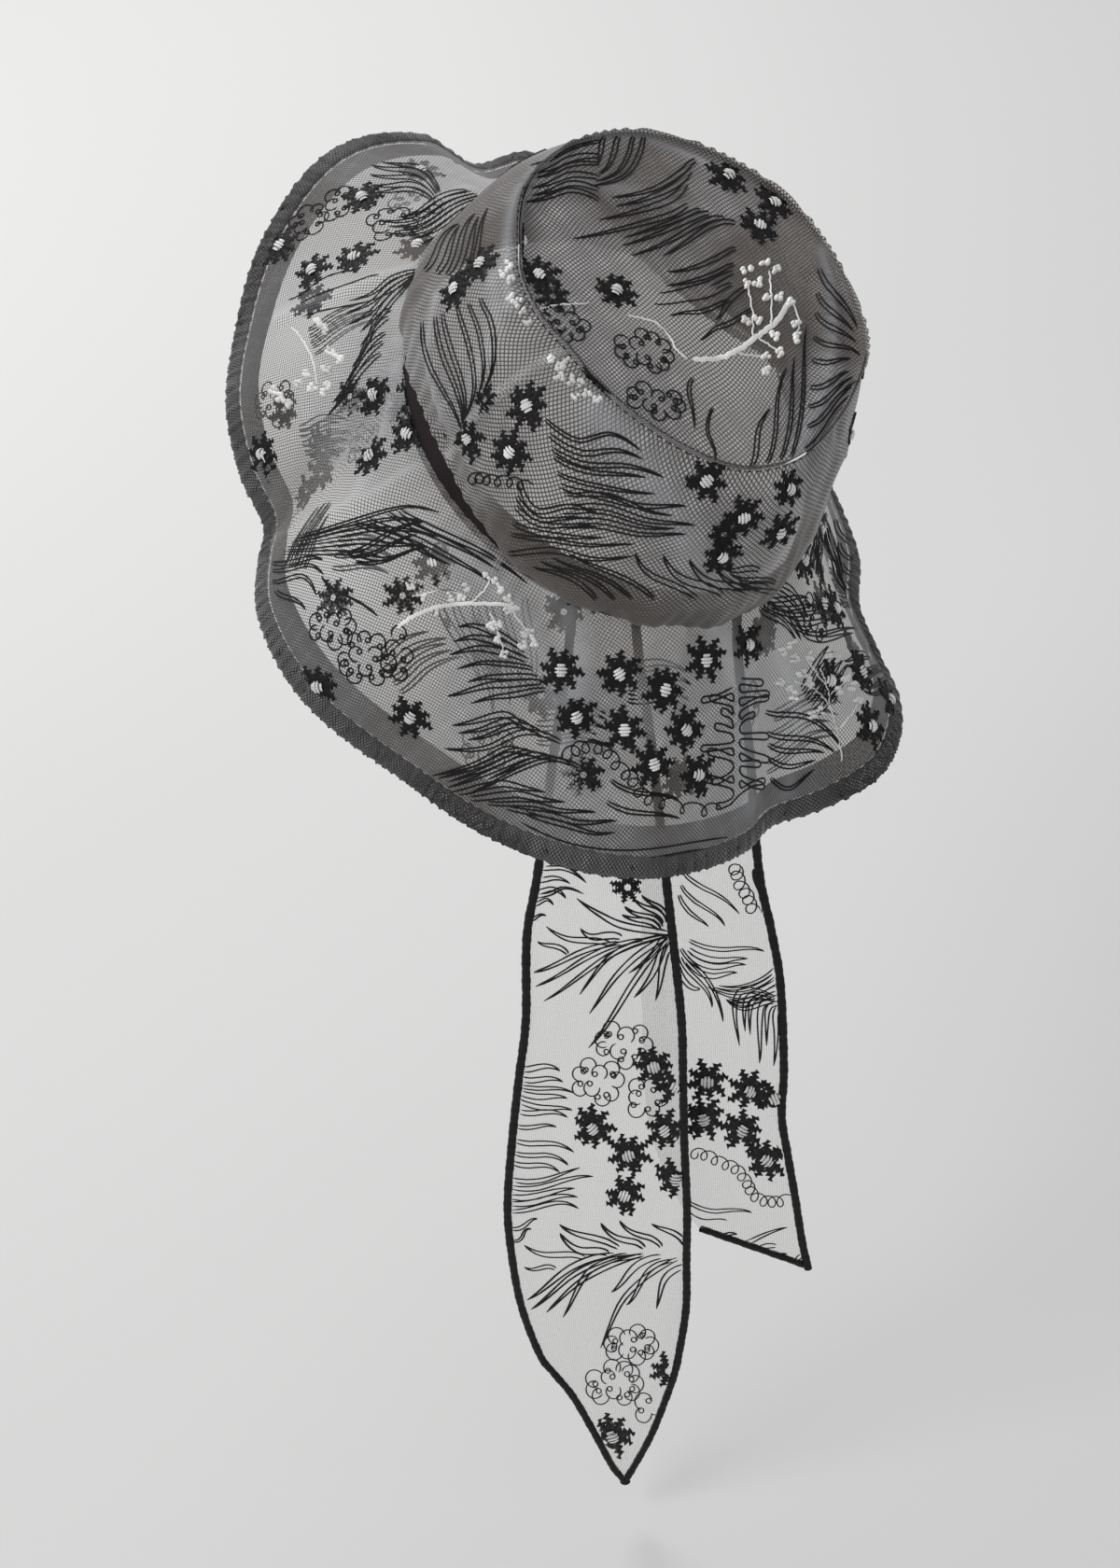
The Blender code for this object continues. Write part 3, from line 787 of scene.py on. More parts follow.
@dataclass
class PhotoGround:
    """Lays pixels of the photograph on the first net that each one meets."""

    panels: Sequence[Panel]
    upright: bool = False    # motifs keep the outline that they have in the photograph

    def lay(self, x: float, y: float) -> Optional[Laid]:
        """Return the place and normal under a pixel.

        Args:
            x: Pixels from the left.
            y: Pixels from the top.

        Returns:
            The place and the normal, or None where the pixel meets no net.
        """
        best, eye = None, Vector(VIEW.place)
        for panel in self.panels:
            place, normal, _, distance = panel.tree.ray_cast(eye, VIEW.ray(x, y))
            if place is not None and (best is None or distance < best[0]):
                best = (distance, place, normal)
        return best[1:] if best else None

    def spot(self, x: float, y: float, angle: float) -> Optional["ClothGround"]:
        """Return the cloth round a pixel, for a motif that is flat on it.

        Args:
            x: Pixels from the left.
            y: Pixels from the top.
            angle: How far the motif is turned, degrees.

        Returns:
            The ground, or None where the pixel meets no net.
        """
        found = self.lay(x, y)
        if found is None:
            return None
        if self.upright:
            return PhotoPatch(self, x, y, math.radians(angle))
        near = min(self.panels, key=lambda panel: (panel.tree.find_nearest(found[0])[3]))
        return ClothGround.at(near, found[0], found[1], angle)


@dataclass
class PhotoPatch:
    """Lays flat pixels round one pixel of the photograph."""

    ground: PhotoGround
    x: float
    y: float
    turn: float

    def lay(self, x: float, y: float) -> Optional[Laid]:
        """Return the place and normal of a flat point, or None past the net."""
        cosine, sine = math.cos(self.turn), math.sin(self.turn)
        return self.ground.lay(self.x + x * cosine - y * sine, self.y + x * sine + y * cosine)


@dataclass
class ClothGround:
    """Lays flat pixels round a place on one net, along the cloth."""

    panel: Panel
    origin: Vector
    right: Vector
    lower: Vector
    normal: Vector
    pixel: float

    @classmethod
    def at(cls, panel: Panel, origin: Vector, normal: Vector, angle: float) -> "ClothGround":
        """Return the ground at a place.

        Args:
            panel: The net.
            origin: The place.
            normal: The cloth's normal there.
            angle: How far the motif is turned, degrees.

        Returns:
            The new ground.
        """
        right = Vector((1, 0, 0)) - normal * normal.x
        if right.length < 0.3:
            right = Vector((0, 1, 0)) - normal * normal.y
        right.normalize()
        lower = right.cross(normal)
        turned = math.radians(angle)
        cosine, sine = math.cos(turned), math.sin(turned)
        away = (origin - Vector(VIEW.place)).length
        return cls(panel, origin, right * cosine + lower * sine,
                   lower * cosine - right * sine, normal, away / VIEW.focal)

    def lay(self, x: float, y: float) -> Optional[Laid]:
        """Return the place and normal of a flat point.

        Args:
            x: Pixels to the right.
            y: Pixels down.

        Returns:
            The nearest place on the net and its normal, or None past its edge.
        """
        point = self.origin + (self.right * x + self.lower * y) * self.pixel
        place, normal, _, distance = self.panel.tree.find_nearest(point)
        if place is None or distance > FAR_FROM_NET:
            return None
        return place, normal


Ground = PhotoGround | PhotoPatch | ClothGround


@dataclass
class Needlework:
    """Gathers the stitches of one thread into one piece."""

    name: str
    finish: PlyFinish
    points: list = field(default_factory=list)
    faces: list = field(default_factory=list)
    flats: list = field(default_factory=list)
    tail: float = 0.45       # width of a thread's two ends, beside its middle
    satin: float = 0.0011    # metres from one satin stitch to the next
    knot_sides: int = 6

    def thread(self, laid: Sequence[Optional[Laid]], width: float, height: float,
               lift: float = 0.0002) -> None:
        """Sew one thread along places on a net.

        Args:
            laid: Places and normals; None ends the stitch.
            width: Width of the thread, metres.
            height: Height of the thread, metres.
            lift: Height of its underside above the net.
        """
        run = []
        for item in laid:
            if item is None and run:
                break
            if item is not None:
                run.append(item)
        if len(run) < 2:
            return
        first, length = len(self.points), 0.0
        for index, (place, normal) in enumerate(run):
            before, after = run[max(index - 1, 0)][0], run[min(index + 1, len(run) - 1)][0]
            side = normal.cross(after - before).normalized()
            end = self.tail if index in (0, len(run) - 1) else 1.0
            if index:
                length += (place - run[index - 1][0]).length
            base = place + normal * lift
            half = side * (width / 2 * end)
            self.points += [base + half, base + normal * (height * end), base - half]
            self.flats += [(length, 0.0), (length, 0.5), (length, 1.0)]
        self._strip(first)

    def _strip(self, first: int) -> None:
        """Add the faces between the rows of three points that begin at one point."""
        for step in range(first, len(self.points) - 3, 3):
            self.faces += [(step, step + 1, step + 4, step + 3),
                           (step + 1, step + 2, step + 5, step + 4)]

    def line(self, ground: Ground, flat: Sequence[Pixel], width: float,
             height: float = 0.00045) -> None:
        """Sew a thread of a width and a height, in metres, along flat points in pixels."""
        self.thread([ground.lay(*point) for point in flat], width, height)

    def ridge(self, ground: Ground, lefts: Sequence[Pixel], rights: Sequence[Pixel],
              height: float) -> None:
        """Fill a narrow shape with satin stitches that rise to its middle.

        Args:
            ground: What lays the points on the cloth.
            lefts, rights: Matching points down its two sides, in pixels.
            height: Height of the middle, metres.
        """
        first, rows = len(self.points), 0
        for left, right in zip(lefts, rights):
            middle = ((left[0] + right[0]) / 2, (left[1] + right[1]) / 2)
            three = [ground.lay(*left), ground.lay(*middle), ground.lay(*right)]
            if None in three:
                break
            for column, (place, normal) in enumerate(three):
                self.points.append(place + normal * (height if column == 1 else 0.0001))
                self.flats.append((rows * self.satin, column / 2))
            rows += 1
        self._strip(first)

    def bead(self, ground: Ground, x: float, y: float, radius: float, height: float) -> None:
        """Raise one small round knot.

        Args:
            ground: What lays the points on the cloth.
            x, y: Its centre, in pixels.
            radius: Its radius, in pixels.
            height: Its height, metres.
        """
        centre = ground.lay(x, y)
        if centre is None:
            return
        first, sides = len(self.points), self.knot_sides
        for ring, (reach, share) in enumerate(((1.0, 0.05), (0.8, 0.65))):
            for step in range(sides):
                angle = 2 * math.pi * step / sides + ring * 0.5
                laid = ground.lay(*polar(x, y, radius * reach, angle)) or centre
                self.points.append(laid[0] + laid[1] * height * share)
                self.flats.append((step * 0.0004, share))
        self.points.append(centre[0] + centre[1] * height)
        self.flats.append((0.0, 1.0))
        upper, top = first + sides, first + 2 * sides
        for step in range(sides):
            after = (step + 1) % sides
            self.faces += [(first + step, first + after, upper + after, upper + step),
                           (upper + step, upper + after, top)]

    def make(self, slot: str) -> Optional[Object]:
        """Make the piece from all its stitches.

        Args:
            slot: Not used.

        Returns:
            The new object, or None where nothing was sewn.
        """
        if not self.faces:
            return None
        corners = [self.flats[corner] for face in self.faces for corner in face]
        piece = make_object(self.name, self.points, self.faces, corners, self.finish.material())
        return piece


@dataclass
class Workbox:
    """The threads in hand while one part of the hat is embroidered."""

    black: Needlework
    silver: Needlework
    cord: Needlework
    chance: random.Random

    @classmethod
    def opened(cls, part: str, seed: int) -> "Workbox":
        """Return a fresh workbox.

        Args:
            part: Name of the part that is embroidered.
            seed: Seed of its small irregularities.

        Returns:
            The workbox.
        """
        return cls(Needlework(part + "_black_embroidery", BLACK_THREAD),
                   Needlework(part + "_silver_embroidery", SILVER_THREAD),
                   Needlework(part + "_fine_cord", CORD_THREAD), random.Random(seed))

    def sew(self, ground: PhotoGround, motifs: Iterable) -> None:
        """Sew motifs in turn on a ground."""
        for motif in motifs:
            motif.sew(ground, self)

    def put_away(self, slot: str) -> list[Object]:
        """Make the pieces that were sewn."""
        made = [work.make(slot) for work in (self.black, self.silver, self.cord)]
        return [piece for piece in made if piece]


@dataclass(frozen=True)
class Daisy:
    """A flower of jagged satin petals round a knotted centre."""

    x: float
    y: float
    radius: float = 26.0
    centre: bool = True
    petals: Sequence[int] = (8, 9, 9)
    eye: float = 3.5         # pixels from the middle to the petals
    steps: int = 8
    wraps: int = 4           # silver threads over the knot

    def sew(self, ground: Ground, box: Workbox) -> None:
        """Embroider it.

        Args:
            ground: What finds its place, or that place itself.
            box: The threads.
        """
        cloth = ground
        if isinstance(ground, PhotoGround):
            cloth = ground.spot(self.x, self.y, box.chance.uniform(0, 40))
        if cloth is None:
            return
        petals = box.chance.choice(self.petals)
        for petal in range(petals):
            heading = 2 * math.pi * (petal + box.chance.uniform(-0.16, 0.16)) / petals
            reach = self.radius * box.chance.uniform(0.86, 1.12)
            bow = box.chance.uniform(-0.18, 0.18)
            lines: dict[int, list[Pixel]] = {1: [], -1: []}
            for step in range(self.steps + 1):
                share = step / self.steps
                out = self.eye + (reach - self.eye) * share
                half = self.radius * 0.195 * math.sin(math.pi * (0.14 + 0.84 * share)) ** 0.7
                jag = self.radius * 0.085 * (1 if step % 2 else -1) * (0.4 + share)
                turn = heading + bow * share
                cosine, sine = math.cos(turn), math.sin(turn)
                for side, line in lines.items():
                    wide = (0.5 if step == self.steps else max(half + jag * side, 0.4)) * side
                    line.append((out * cosine - wide * sine, out * sine + wide * cosine))
            box.black.ridge(cloth, lines[1], lines[-1], 0.0009)
        if self.centre:
            self._knot(cloth, box)

    def _knot(self, cloth: ClothGround, box: Workbox) -> None:
        """Wind the silver knot.

        Args:
            cloth: The flower's place.
            box: The threads.
        """
        size = self.radius * 0.27
        box.cord.bead(cloth, 0, 0, size * 0.95, 0.0017)
        tilt = box.chance.uniform(0, math.pi)
        for wrap in range(self.wraps):
            offset = (wrap - (self.wraps - 1) / 2) * size * 0.52 + box.chance.uniform(-0.4, 0.4)
            half = math.sqrt(max(size * size - offset * offset, 1.0))
            laid = []
            for step in range(7):
                along = -half + 2 * half * step / 6
                x = along * math.cos(tilt) - offset * math.sin(tilt)
                y = along * math.sin(tilt) + offset * math.cos(tilt)
                spot = cloth.lay(x, y)
                if spot:
                    dome = 0.0021 * math.sqrt(max(1 - (x * x + y * y) / (size * size * 1.3),
                                                  0.02))
                    laid.append((spot[0] + spot[1] * dome, spot[1]))
            box.silver.thread(laid, 0.00105, 0.0005, 0.0)


@dataclass(frozen=True)
class Spray:
    """Long pointed leaves, nested from a first one to a last one; each runs base to tip."""

    first: Sequence[Pixel]
    last: Sequence[Pixel]
    count: int
    width: float = 7.0
    thread: float = 0.0008
    sway: float = 3.0

    def sew(self, ground: Ground, box: Workbox) -> None:
        """Embroider them.

        Args:
            ground: What lays their outlines on the cloth.
            box: The threads.
        """
        knots = max(len(self.first), len(self.last))
        first = curve(self.first, knots * 2)
        last = curve(self.last, knots * 2)
        for leaf in range(self.count):
            share = leaf / max(self.count - 1, 1)
            jitter = box.chance.uniform(-0.25, 0.25) / max(self.count, 2)
            place = share + jitter
            spine = [(a[0] + (b[0] - a[0]) * place, a[1] + (b[1] - a[1]) * place)
                     for a, b in zip(first, last)]
            trim = box.chance.uniform(0.8, 1.06)
            spine = self._swayed(curve(spine, 14))
            if trim < 1:
                spine = spine[: max(int(len(spine) * trim), 6)]
            self._leaf(ground, box, curve(spine, 13), self.width * box.chance.uniform(0.65, 1.05))

    def _swayed(self, spine: Sequence[Pixel]) -> list[Pixel]:
        """Return a spine that bends to one side and back.

        Args:
            spine: The straighter spine.

        Returns:
            The swayed points.
        """
        run = (spine[-1][0] - spine[0][0], spine[-1][1] - spine[0][1])
        length = math.hypot(*run) or 1.0
        swayed = []
        for index, (x, y) in enumerate(spine):
            out = self.sway * math.sin(2 * math.pi * index / (len(spine) - 1))
            swayed.append((x - run[1] / length * out, y + run[0] / length * out))
        return swayed

    def _leaf(self, ground: Ground, box: Workbox, spine: Sequence[Pixel], width: float) -> None:
        """Outline one leaf.

        Args:
            ground: What lays its outline on the cloth.
            box: The threads.
            spine: Its middle, base to tip.
            width: Its greatest width, pixels; 0 for a single line.
        """
        wobble = [box.chance.uniform(-0.5, 0.5) for _ in spine]
        if width <= 0:
            box.black.line(ground, spine, self.thread)
            return
        for side in (1, -1):
            line = []
            for index, point in enumerate(spine):
                before, after = spine[max(index - 1, 0)], spine[min(index + 1, len(spine) - 1)]
                run = math.hypot(after[0] - before[0], after[1] - before[1]) or 1.0
                share = index / (len(spine) - 1)
                half = width / 2 * math.sin(math.pi * (0.2 + 0.8 * share)) * side
                half += wobble[index] * (1 - share) * 0.6
                line.append((point[0] - (after[1] - before[1]) / run * half,
                             point[1] + (after[0] - before[0]) / run * half))
            box.black.line(ground, line, self.thread)


def leaves(*rows: Sequence) -> tuple[Spray, ...]:
    """Return a spray for each row of its values."""
    return tuple(Spray(*row) for row in rows)


@dataclass(frozen=True)
class Cloud:
    """A cluster of scallops, each curling in to a small eyelet."""

    x: float
    y: float
    width: float
    height: float
    lobes: int
    thread: float = 0.00075
    eyelet: float = 2.7      # pixels

    def sew(self, ground: Ground, box: Workbox) -> None:
        """Embroider it.

        Args:
            ground: What finds its place, or that place itself.
            box: The threads.
        """
        cloth = ground.spot(self.x, self.y, 0.0) if isinstance(ground, PhotoGround) else ground
        if cloth is None:
            return
        for lobe in range(self.lobes):
            heading = 2 * math.pi * lobe / self.lobes + box.chance.uniform(-0.1, 0.1)
            reach = 0.42 if lobe % 4 == 3 else 0.86
            x = self.width * reach * math.cos(heading)
            y = self.height * reach * math.sin(heading)
            size, spin = box.chance.uniform(7.5, 9.5), box.chance.choice((1, -1))
            line = []
            for step in range(23):
                angle = heading + spin * (-2.3 + 4.4 * min(step / 14, 1.0))
                if step <= 14:
                    line.append(polar(x, y, size, angle))
                    continue
                curl = angle + spin * (step - 14) / 8 * 2 * math.pi
                line.append(polar(*polar(x, y, size * 0.62, angle), self.eyelet, curl))
            box.black.line(cloth, line, self.thread)


@dataclass(frozen=True)
class CurlChain:
    """A line that loops as it goes."""

    path: Sequence[Pixel]
    loops: int
    radius: float = 8.0
    points: int = 12         # points to a loop

    def sew(self, ground: Ground, box: Workbox) -> None:
        """Embroider it.

        Args:
            ground: What lays its points on the cloth.
            box: The threads.
        """
        line = []
        for step, (x, y) in enumerate(curve(self.path, self.loops * self.points)):
            angle = 2 * math.pi * step / self.points
            line.append(polar(x, y, self.radius * (1 + 0.15 * math.sin(step * 0.7)), angle))
        box.black.line(ground, line, 0.0007)


@dataclass(frozen=True)
class Meander:
    """A patch filled by one wandering line."""

    x: float
    y: float
    width: float
    height: float
    columns: int

    def sew(self, ground: Ground, box: Workbox) -> None:
        """Embroider it.

        Args:
            ground: What lays its points on the cloth.
            box: The threads.
        """
        line: list[Pixel] = []
        pitch = self.height / self.columns
        for side in (-1, 1):
            rows = range(self.columns) if side < 0 else range(self.columns - 1, -1, -1)
            for row in rows:
                y = self.y - self.height / 2 + pitch * (row + (0.5 if side < 0 else 0.3))
                reach = self.width / 2 * box.chance.uniform(0.45, 1.05)
                slant, back = box.chance.uniform(-12, 12), pitch * 0.45 * -side
                line += [(self.x + side * 4, y), (self.x + side * reach * 0.6, y + slant * 0.8),
                         (self.x + side * reach, y + slant),
                         (self.x + side * reach, y + slant + back),
                         (self.x + side * reach * 0.5, y + slant * 0.5 + back),
                         (self.x + side * 5, y + back)]
        box.black.line(ground, curve(line, len(line) * 3), 0.00085)


@dataclass(frozen=True)
class Sprig:
    """Silver stems and the small blossoms on them."""

    stems: Sequence[Sequence[Pixel]]
    blossoms: Sequence[Pixel]
    stem: float = 0.0008

    def sew(self, ground: Ground, box: Workbox) -> None:
        """Embroider it.

        Args:
            ground: What lays its points on the cloth.
            box: The threads.
        """
        for stem in self.stems:
            line = curve(stem, 6 * len(stem))
            ragged = [(x + box.chance.uniform(-0.8, 0.8), y + box.chance.uniform(-0.8, 0.8))
                      for x, y in line]
            box.silver.line(ground, ragged, self.stem, 0.0006)
        for x, y in self.blossoms:
            for _ in range(box.chance.choice((4, 5, 5, 6))):
                angle, out = box.chance.uniform(0, 2 * math.pi), box.chance.uniform(1.6, 4.8)
                box.silver.bead(ground, *polar(x, y, out, angle),
                                box.chance.uniform(2.2, 3.4), 0.0012)


@dataclass
class Crown:
    """The crown: its side, its tip, the ribbon band and the seams between them."""

    columns: int = 480
    side_rows: int = 60
    tip_rows: int = 34
    seed: int = 11
    side: Panel = field(init=False)
    tip: Panel = field(init=False)

    def __post_init__(self) -> None:
        """Shape the two nets."""
        self.azimuth = np.linspace(0, 360, self.columns, endpoint=False)
        self.side = self._side()
        self.tip = self._tip()
        ground = PhotoGround([self.tip, self.side])
        for panel in ground.panels:
            panel.settle()
        for panel in ground.panels:
            panel.crease(CROWN_CREASES, ground)
        for panel in ground.panels:
            panel.settle()

    def _side(self) -> Panel:
        """Shape the wall, with its allowance standing up.

        Returns:
            The wall's net.
        """
        position = np.linspace(0, len(CROWN_SECTIONS) - 1, self.side_rows)[:, None]
        rise, taper, swell, gather, yields = (down(CROWN_SECTIONS, column, position)
                                              for column in range(5))
        azimuth = self.azimuth[None, :]
        angle = np.radians(azimuth)
        away = np.abs((azimuth - CRESCENT_MIDDLE + 180) % 360 - 180)
        lifted = smooth(1 - away / CRESCENT_REACH)
        foot = CRESCENT_LIFT * lifted
        loose = around(CROWN_PLAN, 3, azimuth) * (1 - yields * lifted)
        out = swell * CROWN_SWELL * loose
        ripple = gather * CROWN_GATHER * loose * np.cos(GATHER_COUNT * angle)
        fine = 0.0005 * (1 - rise) ** 2 * np.sin(71 * angle + 3 * np.sin(5 * angle))
        wall = BAND_WALL + CLEARANCE + NET_WALL / 2
        wide = opening_ring(azimuth, wall + out + ripple + fine, 0.0)
        radius = TIP_RADIUS * around(CROWN_PLAN, 2, azimuth) + out
        narrow = np.stack((radius * np.cos(angle), radius * np.sin(angle), 0 * radius), -1)
        points = wide + (narrow - wide) * taper[..., None]
        points[..., 2] = foot + rise * (CROWN_HEIGHT - foot)
        top = points[-1]
        outward = np.stack((np.cos(angle[0]), np.sin(angle[0]), 0 * angle[0]), -1)
        ragged = 1 + 0.16 * np.sin(61 * angle[0] + 6 * np.sin(9 * angle[0]))
        extra = [top + (outward * 0.35 + (0, 0, 0.9)) * (SEAM_ALLOWANCE * share * ragged)[:, None]
                 for share in (0.35, 0.7, 1.0)]
        points = np.concatenate((points, np.array(extra))) @ LEAN.T
        length = np.concatenate((rise[:, 0] * CROWN_HEIGHT, CROWN_HEIGHT
                                 + SEAM_ALLOWANCE * np.array((0.35, 0.7, 1.0))))
        return Panel("crown_side_net", points, wrapped(self.azimuth, SIDE_RADIUS, length), True,
                     1.0)

    def _tip(self) -> Panel:
        """Shape the top, slightly domed, with its own allowance.

        Returns:
            The top's net.
        """
        share = np.linspace(0.03, 1.0, self.tip_rows)[:, None]
        angle = np.radians(self.azimuth)[None, :]
        edge = TIP_RADIUS * around(CROWN_PLAN, 2, self.azimuth)[None, :] - 0.0002
        radius = edge * share
        height = CROWN_HEIGHT + TIP_DOME * (1 - share ** 2) + 0 * radius
        points = np.stack((radius * np.cos(angle), radius * np.sin(angle), height), -1)
        extra = [points[-1] + (0, 0, SEAM_ALLOWANCE * rise) for rise in (0.4, 0.8)]
        points = np.concatenate((points, np.array(extra))) @ LEAN.T
        reach = np.concatenate((share[:, 0], (1.02, 1.04)))[:, None] * TIP_RADIUS
        return Panel("crown_tip_net", points, spread_out(self.azimuth, reach), True, -1.0,
                     capped=True)

    def build(self) -> None:
        """Make the crown's pieces."""
        finish = CROWN_NET.material()
        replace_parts(self.side.make(finish), "crown_side_back",
                    "crown_side_front")
        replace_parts(self.tip.make(finish), "crown_tip")
        self._band()
        self._embroider()

    def _band(self) -> None:
        """Make the ribbon band."""
        heights = np.linspace(-BAND_BELOW_SEAM, BAND_HEIGHT - BAND_BELOW_SEAM, 8)
        rows = [(height, BAND_WALL * 0.98) for height in heights]
        rows += [(height, BAND_WALL * 0.02) for height in heights[::-1]] + [rows[0]]
        azimuth = self.azimuth[None, :]
        points = np.stack([opening_ring(azimuth[0], out, height) for height, out in rows])
        lengths = np.cumsum([0.0] + [abs(b[0] - a[0]) + abs(b[1] - a[1])
                                     for a, b in zip(rows, rows[1:])])
        band = Panel("ribbon_band", points @ LEAN.T,
                     wrapped(self.azimuth, BAND_RADIUS, lengths), True, 1.0)
        piece = band.make(RIBBON.material())
        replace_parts(piece, "head_band")

    def _embroider(self) -> None:
        """Sew the crown's motifs."""
        box = Workbox.opened("crown", self.seed)
        box.sew(PhotoGround([self.tip, self.side]), CROWN_MOTIFS)
        sew_hidden_side(self.side, box, self.seed, count=16, rows=(0.15, 0.85),
                        columns=(-0.10, 0.42))
        self._seams(box)
        box.put_away("edging_thread")

    def _seams(self, box: Workbox) -> None:
        """Sew the seam threads.

        Args:
            box: The threads.
        """
        ground = PhotoGround([self.tip, self.side])
        for x, y in curve(SIDE_SEAM, 46):
            box.cord.line(ground, ((x - 5, y - 4), (x, y + 1), (x + 5, y + 6)), 0.0006)
        normals, seam = self.side.normals(), len(self.side.points) - 5
        for step in range(0, self.columns, 4):
            places = [(seam, (step + k) % self.columns) for k in range(3)]
            box.black.thread(laid_along(self.side, normals, places), 0.0006, 0.0003)


GOLDEN_STEP = 0.618      # spreads the rows of motifs evenly
# The draw below which each motif is taken
HIDDEN_MOTIFS = (
    (0.42, Daisy(0, 0)),
    (0.90, Spray(((-40, -14), (-10, -24), (40, -22)), ((-30, 26), (5, 14), (52, 12)), 5)),
    (1.00, Cloud(0, 0, 26, 22, 9)),
)


def sew_hidden_side(panel: Panel, box: Workbox, seed: int, count: int,
                    rows: tuple[float, float], columns: tuple[float, float]) -> None:
    """Sew daisies, leaves and clouds where the photograph doesn't show the net.

    Args:
        panel: The net.
        box: The threads.
        seed: Seed of the places.
        count: How many motifs.
        rows, columns: Ranges that they spread over, as shares of the net's grid.
    """
    places = random.Random(seed)
    for index in range(count):
        share = (index + places.uniform(0.2, 0.8)) / count
        row = rows[0] + (rows[1] - rows[0]) * ((index * GOLDEN_STEP) % 1.0)
        column = columns[0] + (columns[1] - columns[0]) * share
        cloth = panel.spot(row, column % 1.0, places.uniform(-40, 40))
        kind = box.chance.random()
        next(motif for limit, motif in HIDDEN_MOTIFS if kind < limit).sew(cloth, box)


SIDE_SEAM = ((606, 374), (560, 402), (515, 440), (480, 488))

CROWN_CREASES = tuple(Crease(*row) for row in (
    (((548, 330), (546, 260), (560, 205), (600, 165)), 0.0016, 0.004),
    (((575, 330), (572, 270), (585, 215)), -0.0010, 0.005),
    (((640, 145), (700, 152), (780, 190)), 0.0010, 0.004),
    (((600, 200), (660, 205), (740, 230)), 0.0008, 0.005),
    (((880, 270), (892, 340), (880, 430), (850, 490)), 0.0014, 0.004),
    (((868, 300), (868, 380), (850, 460)), -0.0012, 0.004),
    (((900, 330), (915, 400), (900, 460)), -0.0012, 0.005),
    (((925, 440), (890, 510), (868, 570)), 0.0014, 0.005),
    (((500, 330), (505, 400), (480, 470)), -0.0010, 0.005),
    (((470, 320), (462, 390), (478, 450)), 0.0010, 0.004),
    (((530, 300), (530, 360), (500, 420)), 0.0010, 0.005),
    (SIDE_SEAM, 0.0009, 0.0025),
    (((640, 440), (700, 520), (760, 620)), 0.0010, 0.010),
    (((600, 560), (660, 610), (740, 640)), -0.0010, 0.006),
    (((700, 500), (760, 560), (800, 620)), -0.0012, 0.009),
    (((830, 520), (850, 560), (820, 610)), 0.0010, 0.005),
))

